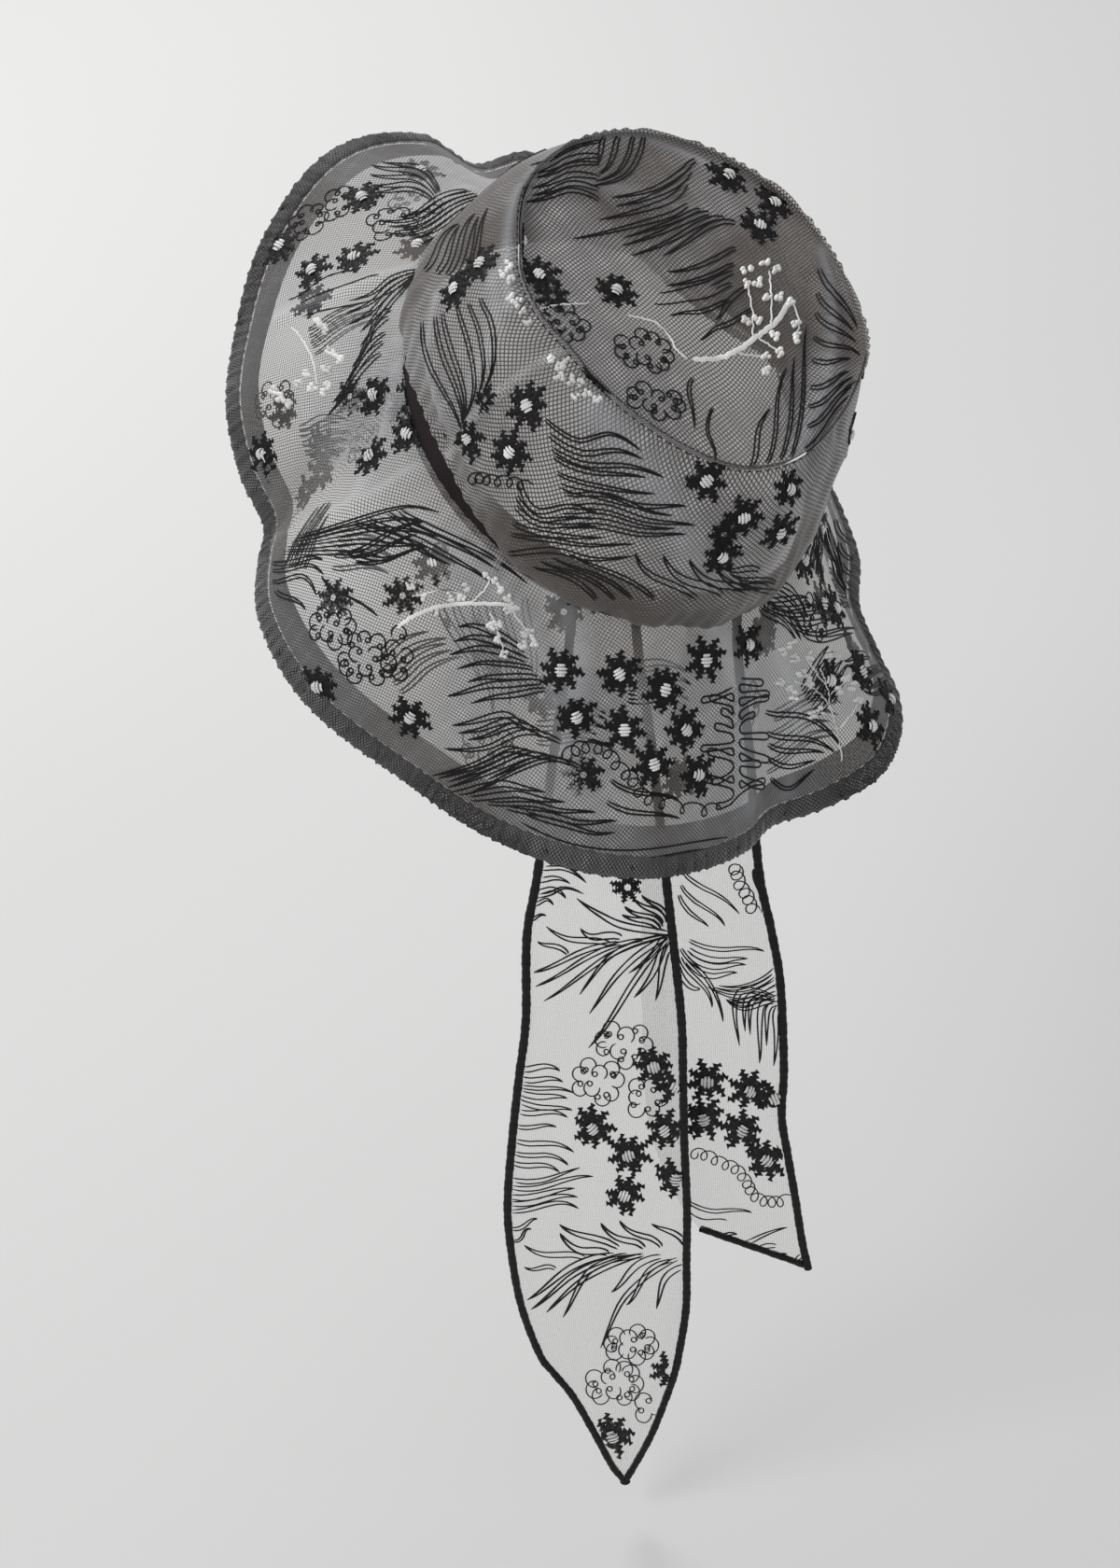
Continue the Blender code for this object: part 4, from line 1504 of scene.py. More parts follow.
CROWN_MOTIFS = tuple(Daisy(x, y) for x, y in (
    (577, 295), (558, 258), (660, 312), (780, 188), (829, 218), (813, 242), (488, 310),
    (515, 283), (565, 435), (502, 470), (547, 484), (757, 515), (845, 524), (796, 554),
    (835, 570), (773, 596))) + (
    Daisy(640, 412, 22, False), Daisy(520, 428, 18, False), Daisy(592, 318, 20, False),
    Daisy(775, 572, 20, False),
    *leaves(
        (((692, 147), (688, 168), (668, 188), (632, 200)),
         ((650, 146), (648, 160), (640, 172), (634, 186)), 4, 5),
        (((642, 154), (612, 163), (588, 170), (556, 180)),
         ((642, 216), (612, 208), (588, 210), (560, 218)), 6, 6),
        (((745, 172), (732, 186), (700, 200), (655, 212)),
         ((735, 197), (722, 215), (676, 226), (620, 238)), 3, 7),
        (((737, 220), (722, 232), (676, 240), (614, 256)),
         ((787, 239), (764, 243), (722, 264), (688, 281)), 5, 6),
        (((788, 268), (768, 281), (735, 288), (702, 292)),
         ((782, 320), (756, 334), (728, 332), (700, 340)), 5, 6),
        (((806, 330), (786, 346), (764, 350), (750, 364)),
         ((800, 308), (782, 326), (770, 336), (756, 350)), 2, 6),
        (((742, 405), (740, 430), (742, 478)), ((762, 435), (758, 465), (764, 492)), 2, 4),
        (((804, 502), (812, 470), (826, 436)), ((848, 490), (862, 410), (868, 330)), 4, 5),
        (((878, 285), (900, 320), (920, 360)), ((862, 485), (888, 455), (922, 415)), 9, 6),
        (((585, 450), (620, 470), (655, 468), (692, 488)),
         ((600, 520), (640, 528), (690, 545), (735, 542)), 6, 6),
        (((605, 530), (650, 528), (700, 552), (750, 557)),
         ((600, 562), (640, 560), (690, 575), (735, 572)), 4, 6),
        (((556, 515), (575, 545), (610, 545), (650, 555)),
         ((545, 590), (590, 585), (640, 600), (700, 592)), 6, 6),
        (((745, 641), (700, 618), (678, 588)), ((820, 630), (790, 628), (762, 604)), 4, 8),
        (((640, 642), (600, 614), (558, 600)), ((700, 642), (650, 612), (598, 585)), 4, 5),
        (((815, 612), (790, 612), (765, 600)), ((850, 640), (815, 632), (780, 612)), 3, 6),
        (((452, 345), (462, 390), (478, 430), (495, 462)),
         ((515, 320), (530, 350), (524, 400), (500, 440)), 6, 5),
        (((455, 290), (470, 265), (492, 240)), ((500, 300), (515, 255), (530, 215)), 5, 6),
    ),
    Cloud(605, 345, 24, 20, 8), Cloud(690, 376, 30, 24, 11), Cloud(702, 430, 30, 18, 9),
    CurlChain(((505, 512), (530, 514), (565, 520)), 6, 6),
    Sprig((((742, 385), (770, 384), (792, 374), (812, 360), (832, 344), (846, 322)),), (), 0.0022),
    Sprig((((806, 364), (806, 335), (800, 305)), ((826, 350), (826, 320), (824, 290)),
           ((848, 322), (856, 345), (852, 365)), ((790, 378), (820, 384)),
           ((812, 362), (835, 378))),
          ((800, 288), (798, 303), (812, 302), (820, 283), (832, 290), (822, 318), (835, 318),
           (845, 325), (798, 345), (812, 342), (830, 360), (852, 345), (855, 362), (835, 378),
           (822, 382), (822, 397))),
    Sprig((((575, 332), (600, 327), (632, 325)),
           ((672, 338), (700, 345), (716, 360), (725, 375), (737, 386))), (), 0.0007),
    Sprig((), ((545, 285), (540, 293), (548, 300), (548, 320), (556, 325), (562, 333), (566, 345),
               (592, 385), (600, 393), (608, 388), (600, 405), (612, 407), (622, 412),
               (630, 420), (640, 428), (618, 425))),
)


PINCH = 188    # azimuth where the brim is drawn together


def near(azimuth: Grid, middle: float, reach: float) -> Grid:
    """Return a share that is 1 at one azimuth and falls away over a reach, in degrees."""
    return np.exp(-(((azimuth - middle + 180) % 360 - 180) / reach) ** 2)


@dataclass
class Brim:
    """The brim: two nets, the facing inside its edge and the gathered hem."""

    columns: int = 560
    rows: int = 54
    hem_columns: int = 1500
    hem_sides: int = 14
    stitch_row: int = 5      # the hem's side that the topstitch runs along
    crossing_threads: int = 620
    seed: int = 23
    upper: Panel = field(init=False)
    under: Panel = field(init=False)

    def __post_init__(self) -> None:
        """Shape the two nets."""
        self.azimuth = np.linspace(0, 360, self.columns, endpoint=False)
        self.edge = BRIM_WIDTH - HEM_WIDTH - CLEARANCE
        self.upper = self._net("brim_net", 0.0003, 1.0)
        self.upper.settle()
        self.upper.crease(BRIM_CREASES, PhotoGround([self.upper]))
        self.upper.settle()
        self.under = self._net("lower_layer", -0.0022, 0.8)
        self.under.settle()

    def _net(self, name: str, lift: float, cover: float) -> Panel:
        """Shape one layer.

        Args:
            name: Name of the layer.
            lift: Height above the middle of the solid, at the middle of its width.
            cover: Share of haze.

        Returns:
            The layer.
        """
        along = np.linspace(-0.0014, self.edge + 0.0015, self.rows)[:, None]
        azimuth = self.azimuth[None, :]
        points = brim_points(azimuth, along) @ LEAN.T
        flat = spread_out(self.azimuth, OPENING_HALF_WIDTH + along)
        panel = Panel(name, points, flat, True, -1.0,
                      cover=self._density_and_painted_shade(azimuth, along) * cover)
        share = np.clip(along / self.edge, 0.0, 1.0)
        angle = np.radians(azimuth)
        rows = np.sin(math.pi * share) ** 0.5
        pleat = (np.sin(58 * angle + 4 * np.sin(3 * angle))
                 * np.exp(-np.maximum(along, 0) / 0.02) * 0.0006)
        pinch = (0.0009 * near(azimuth, PINCH, 10) * np.sin(260 * angle + 9 * share)
                 * (0.4 + 0.6 * share))
        slack = 0.0012 * np.sin(7 * angle + 5 * share) * np.sin(math.pi * share)
        panel.lift(lift * (rows if lift < 0 else 1.0) + (pleat + pinch + slack)
                   * (1.0 if lift > 0 else -0.8))
        return panel

    def _density_and_painted_shade(self, azimuth: Grid, along: Grid) -> Grid:
        """Return how dense the net looks over the brim.

        Args:
            azimuth: Azimuths in degrees.
            along: Distances from the crown seam.

        Returns:
            A share for each grid point.
        """
        # Painted shade: the net is made denser, so darker, near the crown seam, at the back and at
        # the pinch; near the seam the gathers are partly real
        near_seam = np.exp(-np.maximum(along, 0.0) / 0.022)
        lobes = sum(near(azimuth, middle, 16) for middle in (160, 212))
        open_part = 0.72 * lobes * np.exp(-((along - 0.058) / 0.034) ** 2)
        return np.clip(0.82 + 0.40 * near(azimuth, 268, 42) + 0.5 * near_seam
                       + 0.4 * near(azimuth, PINCH, 7) - open_part, 0.1, 1.5)

    def build(self) -> None:
        """Make the brim's pieces."""
        upper = self.upper.make(BRIM_NET.material())
        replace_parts(upper, "brim")
        self._facing()
        self._hem()
        self._embroider()

    def _facing(self) -> None:
        """Make the flat strip under the brim."""
        along = np.linspace(self.edge - FACING_WIDTH, self.edge + 0.001, 7)[:, None]
        points = brim_points(self.azimuth[None, :], along) @ LEAN.T
        strip = Panel("brim_facing_strip", points,
                      wrapped(self.azimuth, FACING_RADIUS, along[:, 0]), True, -1.0)
        strip.lift(np.full(points.shape[:2], -(NET_WALL + CLEARANCE)))
        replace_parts(strip.make(FACING_NET.material()),
                    "brim_facing")

    def _hem(self) -> None:
        """Make the gathered casing with its topstitch."""
        sides = self.hem_sides
        azimuth = np.linspace(0, 360, self.hem_columns, endpoint=False)
        middle = np.full(self.hem_columns, BRIM_WIDTH - HEM_WIDTH / 2)
        step = 1e-3
        centre = brim_points(azimuth, middle)
        outward = brim_points(azimuth, middle + step) - brim_points(azimuth, middle - step)
        sideways = brim_points(azimuth + step, middle) - brim_points(azimuth - step, middle)
        outward /= np.linalg.norm(outward, axis=-1, keepdims=True)
        upward = np.cross(outward, sideways)
        upward /= np.linalg.norm(upward, axis=-1, keepdims=True)
        angle = np.radians(azimuth)
        pucker = (np.sin(173 * angle + 5 * np.sin(7 * angle))
                  + 0.7 * np.sin(311 * angle + 7 * np.sin(5 * angle)))
        rows = []
        for side in range(sides + 1):
            turn = 2 * math.pi * side / sides
            bulge = 1 + 0.24 * pucker * abs(math.sin(turn)) + 0.05 * np.sin(90 * angle)
            wide = outward * (HEM_WIDTH / 2 * math.cos(turn) * (1 + 0.045 * pucker))[:, None]
            thick = upward * (HEM_THICKNESS / 2 * math.sin(turn) * bulge)[:, None]
            pinched = 1.0 - 0.35 * math.exp(-((math.cos(turn) + 0.45) / 0.14) ** 2)
            rows.append(centre + wide + thick * pinched)
        round_hem = np.arange(sides + 1) / sides * HEM_GIRTH
        hem = Panel("gathered_hem", np.array(rows) @ LEAN.T,
                    wrapped(azimuth, HEM_RADIUS, round_hem), True, -1.0)
        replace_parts(hem.make(HEM_NET.material()), "brim_hem")
        self._topstitch(hem)

    def _topstitch(self, hem: Panel) -> None:
        """Sew the hem's topstitch and the threads that cross it.

        Args:
            hem: The hem's surface.
        """
        work = Needlework("hem_topstitch", BLACK_THREAD)
        normals = hem.normals()
        sides, count = hem.points.shape[:2]
        chance = random.Random(self.seed)

        def sew(places: Iterable[Place], width: float, height: float) -> None:
            """Sew one thread over the hem's grid points."""
            work.thread(laid_along(hem, normals, places), width, height, 0.0001)

        for start in range(0, count - 4, 5):
            sew([(self.stitch_row, start + k) for k in range(4)], 0.0007, 0.0004)
        for _ in range(self.crossing_threads):
            start, lean = chance.randrange(count), chance.choice((-3, -2, -1, 0, 1, 2, 3))
            first = chance.choice((-3, -2, -1, 0, 2))
            span = range(first, first + chance.choice((4, 6, 8)))
            sew([(side % (sides - 1), (start + lean * side) % count) for side in span],
                0.0008, 0.0005)
        for start in range(0, count, 14):
            phase = chance.uniform(0, 6)
            sew([(round(0.8 * math.sin(phase + step * 0.9)) % sides, (start + step) % count)
                 for step in range(19)], 0.0011, 0.0006)
        work.make("hem_net")

    def _embroider(self) -> None:
        """Sew the motifs of both layers."""
        for part, panel, motifs, shift, count, rows, columns in (
                ("brim", self.upper, BRIM_MOTIFS, 0, 26, (0.15, 0.82), (-0.13, 0.30)),
                ("brim_under", self.under, UNDER_MOTIFS, 1, 34, (0.2, 0.8), (-0.15, 0.85))):
            box = Workbox.opened(part, self.seed + shift)
            box.sew(PhotoGround([panel]), motifs)
            sew_hidden_side(panel, box, self.seed + 2 * shift, count, rows, columns)
            box.put_away("edging_thread")


BRIM_CREASES = tuple(Crease(*row) for row in (
    (((290, 580), (350, 552), (400, 530), (445, 500)), 0.0012, 0.003),
    (((300, 600), (360, 565), (430, 540)), -0.0010, 0.003),
    (((560, 600), (600, 640), (620, 700), (600, 800)), 0.0014, 0.008),
    (((640, 660), (660, 740), (650, 860)), -0.0014, 0.008),
    (((760, 660), (790, 740), (800, 860)), 0.0014, 0.008),
    (((450, 560), (500, 600), (560, 660), (600, 760)), 0.0010, 0.006),
    (((865, 575), (893, 610), (905, 650), (925, 690)), 0.0012, 0.004),
    (((440, 290), (400, 300), (350, 320), (300, 340)), 0.0014, 0.004),
    (((500, 205), (450, 225), (400, 235)), 0.0012, 0.005),
    (((430, 330), (425, 400), (410, 470), (380, 540)), 0.0010, 0.005),
    (((830, 700), (850, 760), (840, 850)), 0.0012, 0.006),
))

BRIM_MOTIFS = tuple(Daisy(x, y) for x, y in (
    (388, 212), (300, 264), (304, 213), (335, 290), (380, 276), (282, 487), (402, 423),
    (397, 489), (437, 465), (953, 750), (933, 778), (860, 600), (601, 718), (663, 722),
    (712, 739), (756, 707), (801, 691), (617, 768), (669, 782), (734, 782), (700, 819),
    (747, 830), (341, 736), (440, 768))) + (
    *leaves(
        (((470, 206), (446, 178), (400, 170)), ((462, 214), (430, 204), (392, 206)), 5, 6),
        (((500, 205), (470, 215), (440, 228), (402, 232)),
         ((530, 218), (500, 234), (462, 254), (425, 260)), 7, 6),
        (((450, 290), (420, 300), (396, 312), (360, 322)),
         ((444, 300), (420, 330), (398, 352), (384, 376)), 5, 5),
        (((420, 330), (400, 350), (386, 378)), ((408, 380), (372, 420), (334, 460)), 5, 5),
        (((440, 300), (400, 322), (340, 330), (300, 345)),
         ((380, 290), (340, 300), (310, 320)), 3, 0),
        (((320, 575), (400, 548), (450, 545), (505, 566)),
         ((305, 592), (370, 588), (410, 600), (440, 592)), 5, 5),
        (((430, 546), (480, 570), (530, 600), (590, 645)),
         ((380, 560), (430, 575), (465, 600), (505, 618)), 4, 6),
        (((372, 592), (412, 574), (452, 560)), ((382, 602), (422, 600), (462, 588)), 3, 4),
        (((292, 602), (330, 597), (356, 604)), ((292, 622), (322, 616), (340, 636)), 3, 5),
        (((296, 632), (316, 642), (332, 664)), ((300, 640), (312, 650), (326, 668)), 1, 6),
        (((345, 618), (375, 640), (411, 668)), ((345, 618), (375, 640), (411, 668)), 1, 0, 0.0012),
        (((556, 694), (528, 680), (502, 668), (476, 676)),
         ((585, 740), (555, 748), (520, 748), (480, 762)), 7, 7),
        (((558, 778), (540, 768), (510, 770), (480, 777)),
         ((600, 795), (562, 786), (520, 798), (476, 801)), 4, 7),
        (((562, 806), (540, 806), (508, 816), (454, 832)),
         ((622, 822), (590, 816), (548, 826), (500, 852)), 6, 6),
        (((482, 850), (530, 836), (562, 846), (592, 852)),
         ((562, 870), (602, 880), (642, 896), (682, 888)), 5, 7),
        (((540, 890), (600, 914), (680, 924), (770, 908)),
         ((560, 880), (620, 902), (690, 912), (780, 896)), 3, 0),
        (((560, 604), (600, 630), (640, 662)), ((600, 610), (650, 645), (705, 668)), 5, 5),
        (((815, 640), (850, 640), (872, 646)), ((862, 680), (892, 686), (930, 680)), 6, 6),
        (((925, 700), (912, 705), (898, 704)), ((960, 735), (945, 742), (925, 740)), 6, 4),
        (((820, 765), (860, 770), (900, 800)), ((825, 830), (850, 840), (880, 820)), 5, 5),
        (((896, 560), (905, 580), (915, 600)), ((905, 620), (915, 630), (922, 645)), 4, 5),
        (((655, 835), (690, 850), (730, 858)), ((650, 862), (690, 874), (740, 884)), 2, 5),
    ),
    Cloud(355, 672, 26, 18, 9), Cloud(392, 706, 30, 26, 12), Cloud(425, 700, 12, 26, 5),
    Cloud(330, 238, 20, 20, 7), Cloud(362, 218, 14, 20, 6), Cloud(418, 240, 24, 22, 7),
    CurlChain(((605, 808), (640, 800), (672, 830), (700, 858), (765, 868)), 13, 7),
    Meander(789, 795, 70, 132, 9),
    Sprig((((312, 350), (325, 365), (335, 385), (340, 412)),),
          ((340, 345), (347, 352), (355, 375), (362, 385), (350, 395), (330, 400), (320, 410),
           (300, 425), (295, 418), (308, 432), (345, 420), (352, 412), (335, 415))),
    Sprig((((426, 672), (440, 662), (456, 655), (480, 648), (530, 647), (555, 651)),), (), 0.0016),
    Sprig((((505, 646), (520, 631), (525, 620)), ((545, 650), (560, 670), (576, 690)),
           ((525, 655), (535, 680), (540, 700))),
          ((522, 618), (532, 622), (537, 632), (545, 640), (552, 650), (545, 655), (533, 668),
           (525, 672), (535, 685), (560, 682), (568, 678), (572, 688), (560, 690), (540, 700),
           (500, 628), (482, 640))),
    Sprig((((902, 815), (898, 790), (890, 760), (885, 735), (878, 715)),
           ((900, 780), (912, 765), (920, 750)), ((893, 765), (880, 745), (865, 735), (850, 730)),
           ((888, 745), (905, 730), (910, 720)), ((885, 735), (870, 715), (860, 700))),
          ((848, 690), (838, 700), (850, 705), (868, 702), (885, 700), (895, 705), (905, 725),
           (912, 735), (900, 740), (920, 750), (865, 728), (870, 735), (845, 738), (850, 745),
           (835, 730), (870, 765), (880, 760), (858, 722)), 0.0007),
)

UNDER_MOTIFS = tuple(Daisy(x, y, 24, False) for x, y in (
    (347, 480), (330, 525), (305, 440), (430, 432), (345, 508), (376, 425), (358, 640),
    (432, 638), (604, 655), (580, 745), (625, 830), (820, 670))) + (
    Spray(((470, 650), (500, 700), (520, 760)), ((560, 640), (570, 700), (560, 780)), 6, 8),
    Spray(((830, 760), (870, 740), (910, 760)), ((820, 830), (860, 800), (900, 790)), 6, 6),
    Sprig((((440, 640), (480, 632), (520, 650)),),
          ((440, 628), (455, 640), (465, 655), (480, 668), (495, 640), (510, 662))),
)


TIE_CLOTH = 0.0003    # thickness of a tie's net


class TieEnd(Enum):
    """How the foot of a tie is cut."""

    POINTED = auto()
    SLANTED = auto()


@dataclass
class Tie:
    """One long net tie with its overlocked edge."""

    name: str
    length: float
    width: float
    azimuth: float
    rows: Grid
    end: TieEnd
    motifs: Sequence
    levels: int = 150
    across: int = 26
    edging_sides: int = 9
    edging_step: float = 0.0008
    seed: int = 31

    def outline(self) -> tuple[Grid, Grid]:
        """Return the flat edges.

        Returns:
            The left and the right one, as points across and down.
        """
        position = np.linspace(0, len(self.rows) - 1, self.levels + 1)
        drop, left, right, slant = (down(self.rows, column, position) for column in range(4))
        fall, tilt = drop * self.length, slant * self.width / 2
        return (np.stack((left * self.width, fall - tilt), -1),
                np.stack((right * self.width, fall + tilt), -1))

    def loop(self, distance: float) -> Grid:
        """Return the outline down the left and up the right, moved inwards.

        Args:
            distance: How far, metres.

        Returns:
            The points in turn.
        """
        lefts, rights = self.outline()
        line = np.concatenate((lefts, rights[::-1][int(self.end is TieEnd.POINTED):]))
        leaving = np.diff(line, axis=0, append=line[-1:] * 2 - line[-2:-1])
        arriving = np.concatenate((leaving[:1], leaving[:-1]))
        leaving /= np.linalg.norm(leaving, axis=-1, keepdims=True)
        arriving /= np.linalg.norm(arriving, axis=-1, keepdims=True)
        tangent = leaving + arriving
        tangent /= np.linalg.norm(tangent, axis=-1, keepdims=True)
        mitre = np.maximum((tangent * leaving).sum(-1), 0.35)
        inward = np.stack((tangent[:, 1], -tangent[:, 0]), -1)
        return line + inward * (distance / mitre)[:, None]

    def hang(self, across: Grid, fall: Grid, billow: Grid) -> Grid:
        """Return where flat points are when the tie hangs.

        Args:
            across: Distances right of the hanging line.
            fall: Distances below the band.
            billow: Distances out backwards.

        Returns:
            Points in the world.
        """
        out = -(CLEARANCE + NET_WALL / 2)
        middle = opening_ring(np.float64(self.azimuth), out, -BAND_BELOW_SEAM) @ LEAN.T
        azimuth = self.azimuth + np.degrees(across / OPENING_HALF_LENGTH)
        inside = np.maximum(-fall, 0.0)
        below = np.stack((0 * fall, 0 * fall, -np.maximum(fall, 0.0)), -1)
        straight = opening_ring(azimuth, out, inside - BAND_BELOW_SEAM) @ LEAN.T + below
        free = middle + np.stack((across, -billow, 0 * across), -1) + below
        return straight + (free - straight) * smooth(fall / TIE_SETTLE_LENGTH)[..., None]

    def net(self) -> Panel:
        """Shape the net's middle on its grid.

        Returns:
            The net.
        """
        loop = self.loop(2 * TIE_EDGING_RADIUS - 0.0002)
        lefts, rights = loop[:self.levels + 1], loop[::-1][:self.levels + 1]
        if self.end is TieEnd.POINTED:
            lefts, rights = lefts[:-4], rights[:-4]
        sewn = np.array((0.0, -TIE_SEWN_LENGTH))
        lefts = np.concatenate((lefts[:1] + sewn, lefts[:1] + sewn / 2, lefts))
        rights = np.concatenate((rights[:1] + sewn, rights[:1] + sewn / 2, rights))
        share = np.linspace(0, 1, self.across + 1)[None, :, None]
        flat = lefts[:, None] + (rights - lefts)[:, None] * share
        level = np.clip(np.arange(len(lefts)) - 2, 0, self.levels)[:, None]
        billow = down(self.rows, 4, (len(self.rows) - 1) * level / self.levels)
        ripple = 0.0006 * np.sin(9 * share[..., 0] * math.pi + level * 0.09)
        stand = TIE_BILLOW * billow * np.sin(math.pi * share[..., 0]) + ripple
        points = self.hang(flat[..., 0], flat[..., 1], stand)
        return Panel(self.name + "_net", points, flat, False, -1.0)

    def build(self) -> None:
        """Make the tie's pieces."""
        panel = self.net()
        panel.settle()
        piece = self._cloth(panel)
        edging = self._edging()
        box = Workbox.opened(self.name, self.seed)
        box.sew(PhotoGround([panel], upright=True), self.motifs)
        pieces = box.put_away("edging_thread")
        lefts, rights = self.outline()

    def _cloth(self, panel: Panel) -> Object:
        """Make the net as closed cloth.

        Args:
            panel: Its middle surface.

        Returns:
            The net's object.
        """
        normals = panel.normals() * TIE_CLOTH / 2
        rows, columns = panel.points.shape[:2]
        points = np.concatenate(((panel.points + normals).reshape(-1, 3),
                                 (panel.points - normals).reshape(-1, 3)))
        front = panel.faces()
        half = rows * columns
        faces = front + [tuple(corner + half for corner in face[::-1]) for face in front]
        rim = (list(range(columns))
               + [row * columns + columns - 1 for row in range(1, rows)]
               + [(rows - 1) * columns + column for column in range(columns - 2, -1, -1)]
               + [row * columns for row in range(rows - 2, 0, -1)])
        for a, b in zip(rim, rim[1:] + rim[:1]):
            faces.append((a, b, b + half, a + half))
        flat = panel.flat.reshape(-1, 2)
        flat = np.concatenate((flat, flat))
        corners = [flat[corner] for face in faces for corner in face]
        piece = make_object(panel.name, [tuple(point) for point in points], faces, corners,
                            TIE_NET.material(), {"cover": [1.0] * len(points)})
        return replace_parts(piece, self.name)

    def _edging(self) -> Object:
        """Make the overlocked edge.

        Returns:
            The edging's object.
        """
        loop = self.loop(TIE_EDGING_RADIUS)
        if self.end is TieEnd.SLANTED:
            loop = loop[self.levels:]
        gaps = np.linalg.norm(np.diff(loop, axis=0), axis=-1)
        total = np.concatenate(([0.0], np.cumsum(gaps)))
        start = 2 * TIE_EDGING_RADIUS
        places = np.arange(start, total[-1] - start, self.edging_step)
        flat = np.stack([np.interp(places, total, loop[:, axis]) for axis in (0, 1)], -1)
        route = self.hang(flat[:, 0], flat[:, 1], 0 * flat[:, 0])
        tangent = np.gradient(route, axis=0)
        tangent /= np.linalg.norm(tangent, axis=-1, keepdims=True)
        thick = np.array((0.0, -1.0, 0.0))
        wide = np.cross(tangent, thick)
        wide /= np.linalg.norm(wide, axis=-1, keepdims=True)
        sides = self.edging_sides
        lump = (1.0 + 0.10 * np.sin(places / EDGING_THREAD.twist * 2 * math.pi)
                + 0.09 * np.sin(places * 810) * np.sin(places * 377 + 1))
        rows = []
        for side in range(sides):
            angle = 2 * math.pi * side / sides
            out = wide * math.cos(angle) * 1.3 + thick * math.sin(angle) * 0.95
            rows.append(route + out * (TIE_EDGING_RADIUS * lump)[:, None])
        points = np.array(rows).transpose(1, 0, 2)
        turns = np.linspace(0, 1, sides + 1)[None, :]
        uv = np.stack(np.broadcast_arrays(places[:, None], turns), -1)
        tube = Panel(self.name + "_overlock", points, uv, True, 1.0)
        piece = tube.make(EDGING_THREAD.material())
        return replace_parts(piece, self.name + "_edging")


LEFT_TIE_MOTIFS = tuple(Daisy(x, y, 24) for x, y in (
    (700, 1142), (725, 1164), (635, 1208), (712, 1210), (674, 1237), (669, 1280), (724, 1262),
    (656, 1538))) + (
    Daisy(716, 1468, 20, False), Daisy(672, 950, 18, False),
    *leaves(
        (((572, 926), (600, 928), (632, 948)), ((562, 972), (580, 966), (592, 970)), 4, 5, 0.001),
        (((560, 958), (590, 952), (610, 950), (642, 962)),
         ((560, 985), (575, 982), (588, 984)), 2, 4, 0.001),
        (((715, 1000), (670, 995), (640, 975), (607, 952)),
         ((670, 1004), (640, 1002), (618, 985)), 2, 7, 0.0011),
        (((655, 1011), (612, 1006), (573, 978)), ((612, 1021), (590, 1012), (572, 1000)),
         2, 6, 0.001),
        (((715, 985), (700, 968), (684, 950)), ((706, 996), (686, 986), (661, 976)), 4, 6, 0.0011),
        (((668, 1010), (612, 1026), (562, 1045)), ((712, 1003), (640, 1030), (576, 1073)),
         3, 6, 0.001),
        (((716, 1002), (650, 1030), (606, 1086)), ((720, 1002), (668, 1070), (626, 1127)),
         3, 6, 0.001),
        (((716, 1004), (700, 1022), (656, 1054)), ((722, 1004), (708, 1040), (692, 1086)),
         3, 7, 0.001),
        (((553, 1143), (576, 1144), (600, 1148)), ((553, 1176), (590, 1186), (618, 1192)),
         4, 6, 0.001),
        (((553, 1164), (592, 1168), (624, 1181)), ((550, 1206), (576, 1208), (600, 1212)),
         3, 5, 0.001),
        (((550, 1222), (585, 1226), (616, 1238)), ((548, 1246), (576, 1250), (600, 1260)),
         3, 6, 0.001),
        (((545, 1262), (590, 1262), (640, 1248)), ((545, 1298), (590, 1290), (622, 1298)),
         5, 6, 0.001),
        (((548, 1315), (565, 1310), (580, 1307)), ((550, 1330), (560, 1324), (568, 1318)),
         2, 4, 0.001),
        (((664, 1336), (620, 1320), (589, 1298)), ((650, 1344), (626, 1342), (601, 1323)),
         2, 7, 0.0012),
        (((690, 1337), (668, 1328), (644, 1310)), ((732, 1334), (712, 1318), (690, 1304)),
         3, 7, 0.0012),
        (((625, 1348), (590, 1345), (559, 1332)), ((598, 1358), (576, 1358), (556, 1349)),
         2, 6, 0.001),
        (((655, 1344), (602, 1362), (560, 1392)), ((690, 1344), (615, 1378), (570, 1418)),
         3, 6, 0.0012),
        (((690, 1346), (632, 1366), (603, 1418)), ((722, 1348), (662, 1392), (633, 1452)),
         2, 6, 0.001),
        (((708, 1346), (675, 1362), (652, 1385)), ((736, 1356), (710, 1376), (698, 1416)),
         3, 7, 0.001),
    ),
    Cloud(668, 1118, 26, 22, 9), Cloud(640, 1158, 24, 22, 9), Cloud(690, 1176, 20, 16, 6),
    Cloud(676, 1440, 24, 16, 10), Cloud(658, 1482, 26, 20, 11), Cloud(694, 1508, 10, 10, 3),
    Sprig((), ((565, 1097),), 0.0007),
)

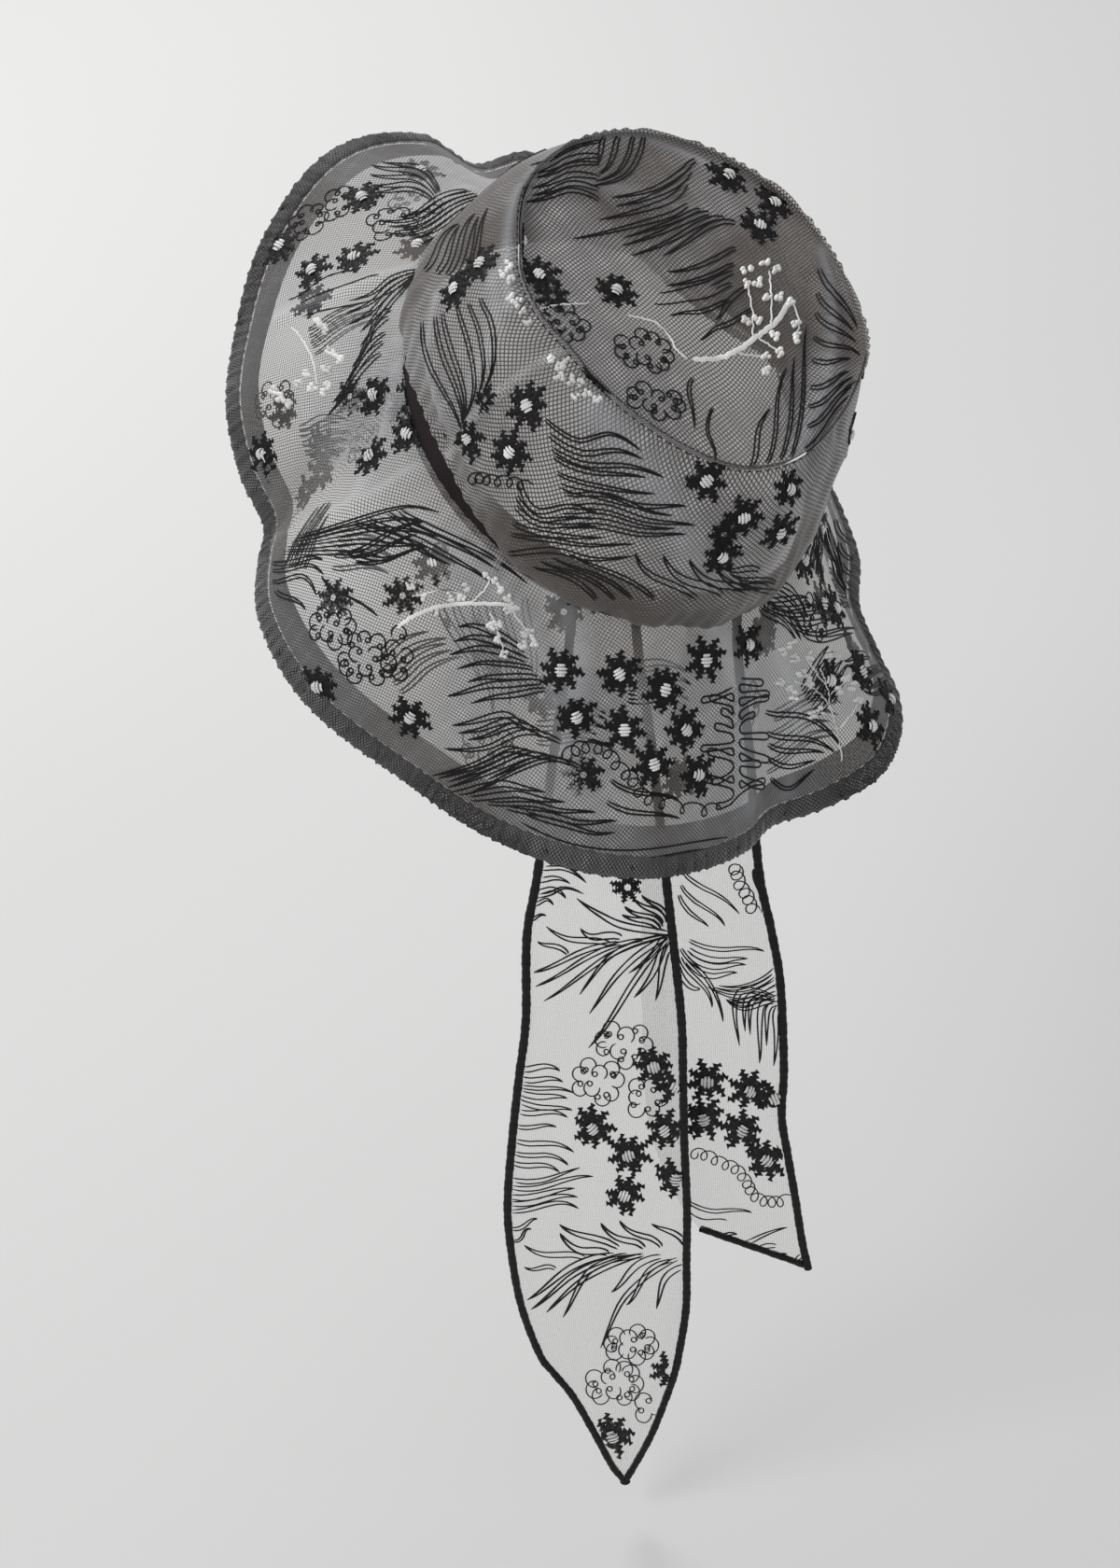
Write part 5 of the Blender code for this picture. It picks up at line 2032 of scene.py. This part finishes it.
RIGHT_TIE_MOTIFS = tuple(Daisy(x, y, 24) for x, y in (
    (758, 1158), (803, 1168), (830, 1176), (754, 1198), (795, 1210), (821, 1242))) + (
    *leaves(
        (((732, 935), (765, 958), (796, 988)), ((728, 960), (745, 985), (760, 1001)), 3, 5),
        (((738, 1008), (780, 1018), (818, 1020)), ((736, 1030), (765, 1046), (792, 1043)), 4, 6),
        (((730, 1015), (755, 1045), (775, 1095)), ((728, 1035), (742, 1058), (750, 1062)), 3, 5),
        (((838, 1030), (820, 1050), (785, 1055), (745, 1048)),
         ((840, 1070), (815, 1078), (795, 1078), (775, 1068)), 6, 5),
        (((838, 1072), (800, 1062), (785, 1080), (793, 1127)),
         ((842, 1075), (838, 1100), (833, 1150)), 7, 6),
        (((737, 1285), (772, 1296), (808, 1298)), ((737, 1300), (758, 1310), (780, 1311)), 2, 6),
        (((742, 1326), (768, 1328), (792, 1322)), ((742, 1342), (800, 1332), (850, 1314)),
         2, 7, 0.001),
        (((830, 1334), (806, 1340), (782, 1340)), ((845, 1346), (820, 1354), (792, 1350)), 2, 6),
        (((862, 1345), (852, 1352), (838, 1362)), ((868, 1352), (858, 1358), (845, 1364)), 2, 4),
    ),
    CurlChain(((742, 1234), (770, 1243), (795, 1258), (806, 1278), (828, 1288), (852, 1280)),
              13, 6),
    CurlChain(((786, 928), (796, 952), (808, 975)), 6, 7),
    Spray(((812, 925), (813, 950), (815, 980)), ((818, 925), (818, 950), (819, 980)),
          4, 4, 0.0014),
)


@dataclass(frozen=True)
class Lamp:
    """One soft lamp."""

    name: str
    place: Triple
    aim: Triple
    size: float
    watts: float
    colour: Triple = (1.0, 1.0, 1.0)

    def make(self) -> None:
        """Make the lamp."""
        data = bpy.data.lights.new(self.name, "AREA")
        data.shape, data.size, data.energy, data.color = "DISK", self.size, self.watts, self.colour
        lamp = bpy.data.objects.new(self.name, data)
        lamp.location = self.place
        heading = Vector(self.aim) - Vector(self.place)
        lamp.rotation_euler = heading.to_track_quat("-Z", "Y").to_euler()
        bpy.context.scene.collection.objects.link(lamp)


@dataclass
class Studio:
    """The pale floor, the lamps and the camera."""

    floor: float = -0.66
    reach: float = 3.6
    colour: Triple = (0.73, 0.73, 0.71)
    sky: Triple = (0.96, 0.97, 1.0)
    sky_strength: float = 0.56
    lamps: Sequence[Lamp] = (
        Lamp("window_lamp", (-1.5, -0.9, 1.7), (0.0, 0.0, -0.1), 1.0, 18.0),
        Lamp("back_lamp", (-0.7, 1.3, 1.1), (-0.6, 1.2, -0.66), 1.0, 17.0),
    )

    def build(self) -> None:
        """Make the studio."""
        VIEW.make()
        for lamp in self.lamps:
            lamp.make()
        world = bpy.data.worlds.new("studio_world")
        world.use_nodes = True
        shade = world.node_tree.nodes["Background"]
        shade.inputs["Color"].default_value = (*self.sky, 1.0)
        shade.inputs["Strength"].default_value = self.sky_strength
        bpy.context.scene.world = world
        bpy.context.scene.view_settings.view_transform = "Standard"
        self._floor()

    def _floor(self) -> None:
        """Make the paper on the floor."""
        points = [(x * self.reach, y * self.reach, self.floor)
                  for x, y in ((-1, -1), (1, -1), (1, 1), (-1, 1))]
        mesh = bpy.data.meshes.new("paper_floor")
        mesh.from_pydata(points, [], [(0, 1, 2, 3)])
        material, wiring, shader = principled("backdrop_paper", {"Roughness": 0.9})
        wiring.feed(shader.inputs["Base Color"],
                    wiring.toned(self.colour, worn_tone(wiring, 2.0, 0.03)))
        mesh.materials.append(material)
        paper = bpy.data.objects.new("paper_floor", mesh)
        bpy.context.scene.collection.objects.link(paper)


def main() -> None:
    """Build the studio and the hat."""
    logging.basicConfig(level=logging.INFO, format="%(name)s %(message)s")
    Studio().build()
    parts = (
        Crown(), Brim(),
        Tie("left_tie", 0.616, 0.088, 266.0, LEFT_TIE_ROWS, TieEnd.POINTED,
            LEFT_TIE_MOTIFS),
        Tie("right_tie", 0.425, 0.072, 296.0, RIGHT_TIE_ROWS, TieEnd.SLANTED,
            RIGHT_TIE_MOTIFS, seed=37),
    )
    for part in parts:
        part.build()
        LOG.info("built %s", type(part).__name__)


if __name__ == "__main__":
    main()
